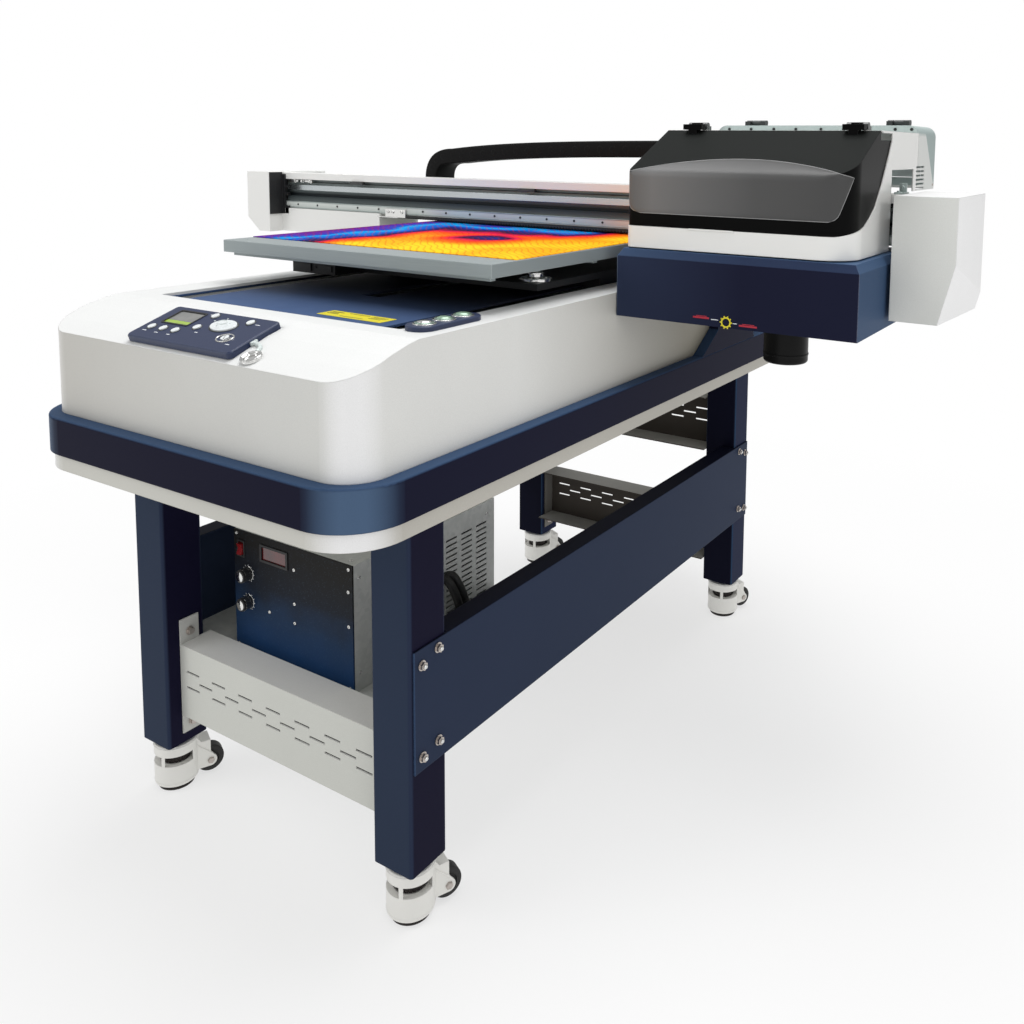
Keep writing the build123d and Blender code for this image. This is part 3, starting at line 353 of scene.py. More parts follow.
def printed_sheet():
    """Matt print of flowing colour waves, invented for this model."""
    n = Nodes("printed_sheet")
    greys = ((0.0, 1.0), (0.08, 0.88), (0.16, 0.72), (0.24, 0.56), (0.30, 0.36), (0.38, 0.06), (0.6, 0.0))
    left = n.ramp(n.span(n.axis(X), -0.33, 0.33), [(place, (grey, grey, grey, 1)) for place, grey in greys])
    back = n.span(n.axis(Y), -0.20, 0.14, 0.0, 0.74)
    back = n.math("MULTIPLY", back, n.span(n.axis(X), 0.14, 0.28, 1.0, 0.15))
    eye = n.vector_math("DISTANCE", n.coords, (0.06, -0.09, 1.018))
    swirl = n.span(eye, 0.02, 0.16, 0.60, 0.0)
    flow = n.noise(5.0, 1.0, n.stretch((1.0, 0.8, 0.0), (0, 0, 0.6)), 0.9)
    value = n.math("MAXIMUM", n.math("MAXIMUM", left, back), swirl)
    value = n.math("ADD", value, n.span(flow, 0.3, 0.7, -0.1, 0.1))
    colour = n.ramp(value, [
        (0.00, srgb(255, 196, 30)), (0.10, srgb(254, 166, 18)), (0.22, srgb(248, 116, 10)),
        (0.34, srgb(232, 60, 20)), (0.41, srgb(206, 14, 70)), (0.47, srgb(40, 8, 50)),
        (0.54, srgb(16, 30, 110)), (0.63, srgb(0, 90, 190)), (0.72, srgb(0, 150, 215)),
        (0.80, srgb(20, 60, 170)), (0.90, srgb(90, 20, 140)), (1.0, srgb(110, 6, 40))])
    waves = n.add("ShaderNodeTexWave", wave_type="BANDS", bands_direction="DIAGONAL", wave_profile="SAW")
    settings = {"Scale": 34, "Distortion": 9, "Detail": 1.0, "Detail Scale": 0.35}
    for key, number in settings.items():
        waves.inputs[key].default_value = number
    n.link(n.coords, waves.inputs["Vector"])
    ripple = n.span(waves.outputs["Fac"], 0.66, 1.0, 0, 0.8)
    n.look(n.mix(ripple, colour, n.mix(0.6, colour, srgb(150, 30, 10))), 0.7, 0.05)
    return n.relief(waves.outputs["Fac"], 0.03, 0.4)


def screen_glass(name, low, high, glow):
    """Display glass: a cloudy backlight under a clear coat."""
    n = Nodes(name)
    colour = n.mix(n.span(n.noise(35), 0.3, 0.7), srgb(*low), srgb(*high))
    n.look(colour, 0.12)
    n.feed(n.shader.inputs["Emission Color"], colour)
    n.shader.inputs["Emission Strength"].default_value = glow
    n.shader.inputs["Coat Weight"].default_value = 0.6
    return n.material


def beam_finish():
    """Beam section: white top edge, a dark band of painted shade in a recess, rail land and a pale lower
    plate.
    """
    n = Nodes("beam_finish")
    grain = n.noise(GRAIN, 2.0, n.stretch((0.01, 1, 1)))
    height = n.math("ADD", n.axis(Z), n.span(grain, 0.3, 0.7, -0.0006, 0.0006))
    # painted shade: the dark band between 0.29 and 0.54 darkens the recess above the lower plate
    colour = n.ramp(n.span(height, 1.018, 1.128), [
        (0.0, srgb(120, 124, 122)), (0.08, srgb(176, 182, 178)), (0.25, srgb(212, 218, 214)),
        (0.29, srgb(96, 104, 104)), (0.40, srgb(52, 60, 62)), (0.47, srgb(30, 36, 40)),
        (0.54, srgb(120, 130, 130)), (0.62, srgb(186, 196, 194)), (0.70, srgb(176, 188, 186)),
        (0.80, srgb(190, 200, 198)), (0.86, srgb(206, 214, 212)), (0.90, srgb(226, 230, 228))])
    n.look(colour, n.span(grain, 0.25, 0.75, 0.5, 0.6), 0.2)
    return n.relief(grain, 0.05, 0.8)


def dark_above(source, height, name):
    """Copy of a finish that turns to dark hinge plastic above a height."""
    n = Nodes(name, M[source])
    base = n.shader.inputs["Base Color"]
    above = n.math("GREATER_THAN", n.axis(Z), height)
    n.feed(base, n.mix(above, base.links[0].from_socket, HINGE_DARK))
    return n.material


def cover_sides():
    """Rear cover: white in front of a raked line on its sides, pale grey behind it, dark hinges above; side
    faces darker with painted shade.
    """
    n = Nodes("cover_sides")
    line = n.math("ADD", n.axis(Y), n.math("MULTIPLY", n.axis(Z), 0.78))
    in_front = n.math("LESS_THAN", line, 1.371)
    below_top = n.span(n.axis(Z), 1.236, 1.244, 1, 0)
    # painted shade: faces that look sideways are darker
    sideways = n.span(n.math("ABSOLUTE", n.axis(X, n.rounded(4.0))), 0.3, 0.95)
    grey = n.mix(sideways, srgb(176, 190, 188), srgb(150, 166, 164))
    white = n.mix(sideways, srgb(236, 238, 236), srgb(214, 216, 213))
    colour = n.mix(n.math("MULTIPLY", in_front, below_top), grey, white)
    colour = n.mix(n.math("GREATER_THAN", n.axis(Z), COVER_TOP), colour, srgb(44, 47, 47))
    grain = n.noise(GRAIN, 2.0)
    colour = n.mix(n.span(grain, 0.3, 0.7, 0, 0.04), colour, srgb(90, 90, 90))
    n.look(colour, n.span(grain, 0.25, 0.75, 0.38, 0.46))
    return n.relief(grain, 0.03, 1.2)


M.update(galvanised=galvanised(), deck_paint=deck_paint(), panel_paint=panel_paint(),
         visor_plastic=visor_paint(), visor_panel=visor_panel_paint(), printed_sheet=printed_sheet())
for name, low, high, glow in (("lcd_grey", (96, 98, 96), (122, 122, 118), 0.15),
                              ("lcd_green", (120, 150, 30), (150, 178, 44), 0.3),
                              ("display_red", (58, 10, 12), (88, 14, 16), 0.1)):
    M[name] = screen_glass(name, low, high, glow)

# Paints with painted light and shade: the front, side, corner and top colours are how light falls on faces
# that look each way, the corner ones painted highlights
PAINTED_LIGHT_FINISHES = {
    # rear legs: painted shade on their fronts and backs under the body, painted light on their sides
    "legs": dict(
        name="leg_navy", front=(43, 53, 72), side=(21, 20, 40), corner=(40, 48, 68), top=(60, 80, 112),
        light_and_shade_tones=((Y, Y, 0.20, 0.32, (118, 103, 124)), (X, Y, 0.20, 0.32, (280, 352, 350)))),
    "side_rails": dict(
        name="rail_navy", front=(28, 30, 48), side=(41, 50, 70), corner=(62, 84, 116), top=(20, 22, 38),
        edge=3.5),
    "blue_band": dict(
        name="band_navy", front=(24, 24, 42), side=(22, 23, 42), corner=(72, 92, 118), top=(68, 92, 126)),
    # maintenance box: painted shade on its front towards the right
    "maintenance_box": dict(
        name="box_navy", front=(46, 54, 76), side=(56, 76, 104), corner=(120, 132, 150), top=(86, 114, 152),
        light_and_shade_tones=((Y, X, 0.36, 0.62, (178, 164, 178)),)),
    # upper shell: painted shade on its sides towards the rear and on its front towards the left
    "upper_shell": dict(
        name="shell_white", front=(208, 208, 204), side=(212, 212, 209), corner=(238, 238, 238),
        top=(250, 251, 250), rough=0.35, specular=0.15, light=(0.9, 0.84, 0.8, 1.2),
        light_and_shade_tones=((X, Y, -0.40, 0.20, (168, 163, 151)), (Y, X, 0.2, -0.45, (228, 225, 221)))),
    "under_tray": dict(
        name="tray_white", front=(200, 199, 192), side=(182, 179, 171), corner=(242, 242, 242),
        top=(244, 244, 244)),
    "front_crossbar": dict(
        name="bar_grey", front=(193, 194, 188), side=(176, 176, 172), corner=(190, 190, 186),
        top=(170, 170, 168), edge=1.0, light=(0.8, 0.8, 0.8, 0.45)),
    # rear crossbars: painted shade on their fronts
    "rear_crossbars": dict(
        name="bar_shaded", front=(58, 54, 50), side=(110, 108, 104), corner=(120, 120, 116),
        top=(128, 127, 124), edge=1.0, light=(0.7, 0.7, 0.7, 0.5)),
    "ink_box": dict(
        name="ink_white", front=(206, 207, 203), side=(244, 245, 244), corner=(230, 230, 229),
        top=(252, 252, 252), specular=0.15, light=(0.8, 0.8, 0.8, 1.2)),
}


def dress_cad_nodes():
    """Every CAD node takes its own finish, or the one of its record slot."""
    special = {node: paint_with_painted_light(**painted_look) for node, painted_look in PAINTED_LIGHT_FINISHES.items()}
    special["carriage_shell"] = dark_above("white_plastic", HOOD_TOP, "hood_white")
    special["rear_cover"] = cover_sides()
    special["rear_lid"] = dark_above("pale_grey_paint", COVER_TOP, "lid_grey")
    special["beam"] = beam_finish()
    slots = {row["node"]: row["material_slot"] for row in frame["record"]["subparts"]}
    for name, node in NODES.items():
        node.data.materials.clear()
        node.data.materials.append(special[name] if name in special else M[slots[name]])


# ---------------------------------------------------------------- mesh building
def circle(centre, across, other, radius, count):
    """Points round a centre, in the plane of two directions."""
    turns = [2 * math.pi * k / count for k in range(count)]
    return [centre + radius * (across * math.cos(t) + other * math.sin(t)) for t in turns]


def arc(radius, start, end, count, centre):
    """Points of a circular arc in degrees."""
    turns = [math.radians(start + (end - start) * k / count) for k in range(count + 1)]
    return [(centre[0] + radius * math.cos(t), centre[1] + radius * math.sin(t)) for t in turns]


def rounded_rect(half_x, half_y, radius, steps=6):
    out = []
    for sx, sy, start in ((1, 1, 0), (-1, 1, 90), (-1, -1, 180), (1, -1, 270)):
        out += arc(radius, start, start + 90, steps, (sx * (half_x - radius), sy * (half_y - radius)))
    return out


class Shape:
    """One piece collected from simple bodies, given in millimetres."""

    def __init__(self, place=None):
        self.bm = bmesh.new()
        self.place = place or Matrix.Identity(4)

    def loft(self, rings, closed=False, strips=False):
        """Skin over rings of equally many points. Its ends are joined when closed, or else capped.

        A cap is one face, or a row of four-sided ones between the ring's two halves when strips is set.
        """
        rings = [[self.bm.verts.new(self.place @ Vector(p)) for p in ring] for ring in rings]
        count = len(rings[0])
        for low, high in zip(rings, rings[1:] + (rings[:1] if closed else [])):
            for k in range(count):
                after = (k + 1) % count
                self.bm.faces.new((low[k], low[after], high[after], high[k]))
        if closed:
            return
        for cap in (rings[0], rings[-1]):
            if strips:
                for k in range(count // 2 - 1):
                    self.bm.faces.new((cap[k], cap[k + 1], cap[-2 - k], cap[-1 - k]))
            else:
                self.bm.faces.new(cap)

    def prism(self, outline, low, high, to_3d=lambda a, b, level: (a, b, level)):
        """Closed outline drawn between two levels. to_3d turns (a, b, level) into a point."""
        self.loft([[to_3d(a, b, level) for a, b in outline] for level in (low, high)])

    def box(self, x0, x1, y0, y1, z0, z1):
        self.prism([(x0, y0), (x1, y0), (x1, y1), (x0, y1)], z0, z1)

    def boxes(self, *sizes):
        for size in sizes:
            self.box(*size)

    def along_x(self, outline, x0, x1):
        self.prism(outline, x0, x1, lambda a, b, level: (level, a, b))

    def rod(self, start, end, radius, count):
        """Cylinder between two points."""
        self.lathe([(0, radius), (1, radius)], start, end, count)

    def lathe(self, profile, start, end, count=28):
        """Turned shape: (share of the way from start to end, radius) rings, closed at both ends."""
        start, end = Vector(start), Vector(end)
        across = (end - start).orthogonal().normalized()
        other = (end - start).normalized().cross(across)
        self.loft([circle(start.lerp(end, share), across, other, radius, count) for share, radius in profile])

    def tube(self, path, radius, count=10, closed=False):
        """Round bar along a path of points. radius may be a function of the point's number."""
        path = [Vector(p) for p in path]
        total = len(path)
        across, rings = None, []
        for i, p in enumerate(path):
            ahead = path[(i + 1) % total] if closed or i + 1 < total else p
            behind = path[i - 1] if closed or i else p
            way = (ahead - behind).normalized()
            across = (way.orthogonal() if across is None else across - way * across.dot(way)).normalized()
            r = radius(i) if callable(radius) else radius
            rings.append(circle(p, across, way.cross(across), r, count))
        self.loft(rings, closed)

    def ring(self, centre, normal, radius, thickness, count=40, squash=1.0):
        """Torus, or an oval one when squash is not 1."""
        normal = Vector(normal).normalized()
        across = Vector((1, 0, 0)) if abs(normal.x) < 0.9 else Vector((0, 1, 0))
        across = (across - normal * across.dot(normal)).normalized()
        path = circle(Vector(centre), across, squash * normal.cross(across), radius, count)
        self.tube(path, thickness, 8, closed=True)

    def screws(self, places, normal, radius=3.0, height=2.2):
        """Pan heads with a hollow socket."""
        profile = [(0, 1), (0.55, 1), (0.9, 0.86), (1.0, 0.6), (1.0, 0.5), (0.45, 0.45)]
        for place in places:
            base = Vector(place)
            tip = base + Vector(normal) * height
            self.lathe([(share, radius * r) for share, r in profile], base, tip, 18)

    def done(self, name, finish, bevel=0.0, angle=35, slot=None, body="frame"):
        """Makes the piece. The slot argument is not used."""
        mesh = bpy.data.meshes.new(name)
        bmesh.ops.recalc_face_normals(self.bm, faces=self.bm.faces)
        bmesh.ops.scale(self.bm, vec=(MM, MM, MM), verts=self.bm.verts)
        self.bm.to_mesh(mesh)
        self.bm.free()
        mesh.materials.append(M[finish])
        mesh.polygons.foreach_set("use_smooth", [True] * len(mesh.polygons))
        mesh.set_sharp_from_angle(angle=math.radians(angle))
        obj = bpy.data.objects.new(name, mesh)
        bpy.context.scene.collection.objects.link(obj)
        if bevel:
            mod = obj.modifiers.new("edges", "BEVEL")
            mod.width = bevel * MM
            mod.segments = 2
            mod.limit_method = "ANGLE"
            mod.angle_limit = math.radians(angle)
            mod.harden_normals = True
        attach(obj, body)
        return obj


FORWARD, BACKWARD, LEFT, RIGHT, UP = (0, -1, 0), (0, 1, 0), (-1, 0, 0), (1, 0, 0), (0, 0, 1)

# ---------------------------------------------------------------- beam details
BEAM_LEFT, BEAM_RIGHT, BEAM_FACE = -857.2, 829.0, 163.0
BAR_TEETH, BAR_PITCH = 94, 8
RAIL_SCREWS, RAIL_PITCH = 22, 75


def beam_details():
    cover = Shape()
    cover.along_x([(161.8, 1109), (161.8, 1126.2), (204, 1126.2), (204, 1124), (163.8, 1124), (163.8, 1109)],
                  BEAM_LEFT, BEAM_RIGHT)
    cover.done("beam_top_cover", "white_paint", 0.5)

    fittings = Shape()
    fittings.boxes((-858.4, -855.4, 115.6, 158, 1014, 1127.4), (BEAM_LEFT, -846, 157, 168, 1014, 1122),
                   (-846, -832, 158, 168.5, 1014, 1036), (-846, -836, 158, 168.5, 1064, 1072),
                   (-846, -836, 158, 168.5, 1086, 1091))
    fittings.done("beam_end_bracket", "black_paint", 0.6)

    tensioner = Shape()
    tensioner.boxes((-826, -796, 160, 168, 1102, 1107.5), (-770, -742, 160, 168, 1102, 1107.5))
    for x, r in ((-812, 6.0), (-782, 5.0), (-752, 6.0)):
        profile = [(0, r), (0.4, r), (0.55, r * 0.7), (1, r * 0.7)]
        tensioner.lathe(profile, (x, 168, 1104.5), (x, 158.5, 1104.5))
    tensioner.done("belt_tensioner", "chrome_parts", 0.4)

    screws = Shape()
    screws.screws([(-800 + RAIL_PITCH * k, BEAM_FACE, 1041) for k in range(RAIL_SCREWS)], FORWARD, 2.6, 1.6)
    screws.done("beam_screws", "dark_metal", slot="black_paint")

    beads = Shape()
    beads.boxes((-855, BEAM_RIGHT, 162.2, 164, 1032.5, 1034), (-855, BEAM_RIGHT, 162.2, 164, 1048.2, 1049.4))
    beads.done("beam_face_beads", "beam_aluminium")

    bar = Shape()
    bar.box(-430, 330, 158.5, 166, 1024.5, 1029.6)
    for k in range(BAR_TEETH):
        x = -428 + BAR_PITCH * k
        bar.box(x, x + 4.4, 157.8, 164, 1021.6, 1025)
    bar.done("antistatic_bar", "black_paint", 0.3)

    bracket = Shape()
    bracket.boxes((-472, -404, 157.5, BEAM_FACE, 1023, 1044), (-500, -430, 157.5, 166, 1021.6, 1024))
    bracket.screws([(x, 157.5, 1036) for x in (-462, -446, -416)], FORWARD, 4.2, 2.6)
    bracket.done("antistatic_bracket", "chrome_parts", 0.5)

    sensors = Shape()
    for x in (-595, -51):
        sensors.boxes((x, x + 44, 156.5, 165, 1100.8, 1108.6), (x + 8, x + 30, 155.4, 160, 1102, 1106))
        sensors.screws([(x + 38, 156.5, 1104)], FORWARD, 2.0, 1.2)
    sensors.done("position_sensors", "dark_plastic", 0.4, slot="black_paint")

    end = Shape()
    end.boxes((809, 828.5, 166, 200, 1126.4, 1130), (812, 826, 192, 195, 1130, 1146),
              (810, 828, 206, 290, 1100.5, 1104), (816, 826, 214, 240, 1104, 1121))
    end.screws([(819, 192, 1139)], FORWARD, 3, 2)
    end.screws([(815, 176, 1130)], UP, 3, 3)
    end.done("beam_right_fittings", "beam_aluminium", 0.5)


# ---------------------------------------------------------------- cable chain
CHAIN_FRONT, CHAIN_BACK, CHAIN_MIDDLE = 207.0, 281.0, 244.0
UPPER_LINKS, LOWER_LINKS, BEND_LINKS = 20, 15, 8
CHAIN_PITCH = 669.0 / UPPER_LINKS
LINK_HALF_WIDTH, LINK_HALF_HEIGHT, LINK_CORNER = 37, 18.5, 5
BEND_X, BEND_Z, BEND_RADIUS, BEND_SAG, LOWER_Z = -297.0, 1125.5, 67.5, 13.5, 1058


def chain_height(x):
    """Centre height of the upper run: it rises out of the bend towards the carriage."""
    return 1179.5 + 26 * (1 - math.exp((BEND_X - x) / 230))


def bend_point(turn, radius, y):
    """Point of the bend, whose upper half is a little flattened."""
    sag = BEND_SAG * max(0.0, math.sin(turn)) ** 2
    return BEND_X + radius * math.cos(turn), y, BEND_Z + (radius - sag) * math.sin(turn)


def straight_link(shape, number, half_height, gap, height):
    """Link of a straight run, whose middle is at the height that the function gives for x."""
    x = BEND_X + CHAIN_PITCH * number
    shape.prism(rounded_rect(LINK_HALF_WIDTH, half_height, LINK_CORNER, 3), x + gap, x + CHAIN_PITCH - gap,
                lambda a, b, level: (level, CHAIN_MIDDLE + a, height(level) + b))


def link_pins(shape, x, z):
    """Round pin heads on both sides of the chain."""
    for y, way in ((CHAIN_FRONT, -1), (CHAIN_BACK, 1)):
        shape.lathe([(0, 7), (0.7, 7), (1, 6.4)], (x, y - way, z), (x, y + 0.4 * way, z), 20)


def chain():
    """Cable chain drawn as closed links: upper run, bend and the lower run inside the duct."""
    upper = Shape()
    for k in range(UPPER_LINKS):
        straight_link(upper, k, LINK_HALF_HEIGHT, 0.06, chain_height)
    for k in range(1, UPPER_LINKS):
        x = BEND_X + CHAIN_PITCH * k
        link_pins(upper, x, chain_height(x))
    upper = upper.done("chain_links_upper", "chain_plastic", 0.5, body="carriage")
    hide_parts("chain_upper_run")
    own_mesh(upper)

    bend = Shape()
    outline = rounded_rect(LINK_HALF_WIDTH, LINK_HALF_HEIGHT, LINK_CORNER, 3)
    step, slices = math.pi / BEND_LINKS, 4
    for k in range(BEND_LINKS):
        start = math.pi / 2 + step * k
        turns = [start + step * (0.002 + 0.996 * s / slices) for s in range(slices + 1)]
        bend.loft([[bend_point(t, BEND_RADIUS + b, CHAIN_MIDDLE + a) for a, b in outline] for t in turns])
        x, _, z = bend_point(start + step, BEND_RADIUS, CHAIN_MIDDLE)
        link_pins(bend, x, z)
    for k in range(LOWER_LINKS):
        straight_link(bend, k, 19, 0.15, lambda x: LOWER_Z)
    bend = bend.done("chain_links_bend", "chain_plastic", body="chain")
    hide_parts("chain_bend")


# ---------------------------------------------------------------- carriage details
HEAD_X = 591.0
VISOR_HALF, VISOR_FRONT, VISOR_BREAK = 213.0, -77.6, 1162.0
VISOR_RIGHT_RADIUS, VISOR_LEFT_RADIUS = 55.0, 11.0
PANEL_BOTTOM, PANEL_PEAK, PANEL_DROP = 1086.0, 1187.0, 27.0
PANEL_HALF_TOP, PANEL_HALF_BOTTOM, PANEL_HALF_LEFT = 219.0, 188.0, 210.0


def visor_surface(s, z, softness):
    """Point of the visor's outside: s runs round the front in plan. Above the break it leans back."""
    side, radius = (1, VISOR_RIGHT_RADIUS) if s >= 0 else (-1, VISOR_LEFT_RADIUS)
    straight = VISOR_HALF - radius
    past = abs(s) - straight
    quarter = radius * math.pi / 2
    if past <= 0:
        x, y = abs(s), VISOR_FRONT
    elif past <= quarter:
        x = straight + radius * math.sin(past / radius)
        y = VISOR_FRONT + radius * (1 - math.cos(past / radius))
    else:
        x, y = VISOR_HALF, VISOR_FRONT + radius + past - quarter
    over = (z - VISOR_BREAK) / softness
    slope = over if over > 30 else math.log1p(math.exp(max(-30.0, over)))
    return Vector((HEAD_X + side * x, max(y, VISOR_FRONT + 2 * softness * slope), z))


def visor_point(s, z, lift, softness=0.05):
    """Point lifted outwards from the visor's outside, whose break is rounded by the softness."""
    across = visor_surface(s + 1, z, softness) - visor_surface(s - 1, z, softness)
    up = visor_surface(s, z + 1, softness) - visor_surface(s, z - 1, softness)
    return visor_surface(s, z, softness) + across.cross(up).normalized() * lift


def panel_place(u, v):
    """Panel outline: u from -1 to 1 across, v from 0 at the bottom to 1 at the arched top."""
    half = PANEL_HALF_BOTTOM + (PANEL_HALF_TOP - PANEL_HALF_BOTTOM) * v if u > 0 else PANEL_HALF_LEFT
    corner, reach = (0.16, 13) if u > 0 else (0.26, 26)
    if v < corner:
        half -= reach * (1 - math.sqrt(max(0.0, 1 - (1 - v / corner) ** 2)))
    s = u * half
    top = PANEL_PEAK - PANEL_DROP * (s / PANEL_HALF_TOP) ** 2
    return s, PANEL_BOTTOM + (top - PANEL_BOTTOM) * v


def visor_details():
    across, up = 90, 26
    fronts, backs = [], []
    for j in range(up + 1):
        v = (j / up) ** 1.2
        places = [(2 * i / across - 1, *panel_place(2 * i / across - 1, v)) for i in range(across + 1)]
        front = []
        for u, s, z in places:
            near_edge = min((1 - abs(u)) * 200, v * 95, (1 - v) * 95)
            rise = min(1.0, near_edge / 7.0) ** 0.5
            front.append(visor_point(s, z, 0.6 + 2.8 * rise, 0.05 + 2.4 * rise * rise))
        fronts.append(front)
        backs.append([visor_point(s, z, -0.3) for u, s, z in places])
    panel = Shape()
    panel.loft([front + back[::-1] for front, back in zip(fronts, backs)], strips=True)
    panel.done("visor_panel", "visor_panel", angle=50, slot="visor_plastic", body="visor")

    edge = fronts[0] + [front[-1] for front in fronts[1:]]
    edge += fronts[-1][-2::-1] + [front[0] for front in fronts[-2:0:-1]]
    rim = Shape()
    rim.tube([p + Vector((0, -0.2, 0.2)) for p in edge[::2]], 0.75, 8, closed=True)
    rim.done("visor_panel_rim", "rim_grey", slot="visor_plastic", body="visor")

    ledge = Shape()
    ledge.prism([(-46, 0), (46, 0), (43, 3.4), (-43, 3.4)], -80.2, -76.2,
                lambda a, b, level: (HEAD_X - 40 + a, level, 1058.6 + b))
    ledge.done("visor_finger_ledge", "white_plastic", 0.5, body="carriage")


def carriage_details():
    screws = Shape()
    screws.screws([(x, 345, 1250) for x in (392, 444, 497, 547, 603, 652, 707, 759, 792)], FORWARD, 3.2, 2.0)
    screws.done("rear_cover_screws", "dark_metal", slot="black_paint", body="carriage")

    sides = Shape()
    sides.screws([(364, y, 1136) for y in (352, 420, 480)], LEFT, 3.0, 1.8)
    sides.screws([(807, 478, 1136)], RIGHT, 3.0, 1.8)
    sides.done("cover_side_screws", "bolt_steel", body="carriage")

    boards = Shape()
    for k in range(3):
        x = HEAD_X - 92 + 66 * k
        boards.boxes((x + 10, x + 44, 20, 62, 1110.5, 1113), (x + 14, x + 40, 24, 30, 1113, 1121))
        boards.tube([(x + 27, 27, 1121), (x + 27, 40, 1150), (x + 27, 120, 1165), (x + 27, 170, 1160)], 5)
    boards.done("head_boards", "dark_plastic", 0.3, slot="black_paint", body="carriage")


# ---------------------------------------------------------------- maintenance box and ink box
STATION_FACE, STICKER_Z = -90.0, 900
NECK_X, NECK_Y, INK_BACK = 640, 80, 305


def station_details():
    y = STATION_FACE
    gear = Shape()
    gear.ring((HEAD_X, y - 0.3, STICKER_Z), BACKWARD, 8.2, 1.5)
    for k in range(10):
        t = 2 * math.pi * k / 10
        x, z = HEAD_X + 10.6 * math.cos(t), STICKER_Z + 10.6 * math.sin(t)
        gear.rod((x, y + 0.4, z), (x, y - 0.9, z), 1.3, 10)
    gear.done("sticker_ring", "label_yellow", slot="navy_paint")
    marks = Shape()
    for x0, x1, z in ((526, 558, 904), (616, 650, 897)):
        marks.boxes((x0, x1, y - 0.5, y + 0.3, z - 1.6, z + 1.6),
                    (x0 + 6, x1 - 5, y - 0.5, y + 0.3, z + 2.4, z + 3.6))
    marks.done("sticker_marks", "mark_red", 0.2, slot="navy_paint")
    lines = Shape()
    for x0, x1, z in ((562, 576, 902.6), (604, 612, 899.4)):
        lines.box(x0, x1, y - 0.45, y + 0.3, z - 0.7, z + 0.7)
    lines.done("sticker_lines", "mark_white", 0.1, slot="navy_paint")

    neck = Shape()
    for profile, z0, z1 in (([(0, 43.2), (0.3, 44.4), (0.7, 44.4), (1, 43.2)], 876, 889.2),
                            ([(0, 42.8), (0.5, 43.2), (1, 42.8)], 820, 824)):
        neck.lathe(profile, (NECK_X, NECK_Y, z0), (NECK_X, NECK_Y, z1), 48)
    neck.done("waste_bottle_rings", "bottle_plastic", 0.3)

    screws = Shape()
    screws.screws([(x, INK_BACK, z) for x, z in ((852, 1112), (925, 1112), (852, 925))], BACKWARD, 3.0, 1.6)
    screws.done("ink_box_screws", "bolt_steel")

    latch = Shape()
    latch.lathe([(0, 9), (0.5, 9), (0.75, 8), (1, 6)], (880, INK_BACK, 1010), (880, INK_BACK + 7, 1010))
    latch.box(878.8, 881.2, INK_BACK + 6, INK_BACK + 8, 1004, 1016)
    latch.done("ink_box_latch", "chrome_parts", 0.2)


# ---------------------------------------------------------------- console
CONSOLE_FRAME = Matrix.Translation((-10, -704, 910.5)) @ Matrix.Rotation(math.radians(19), 4, "X")
CONSOLE_TOP = 11.0
KEYS = [(-100, -18), (-71, -18), (-41, -18), (-10, -1), (-12, 36), (75, 33)]
START_KEY, DIAL, SCREEN, SOCKET = (75, -16), (36, 13), (-66, 18), (156, -38)


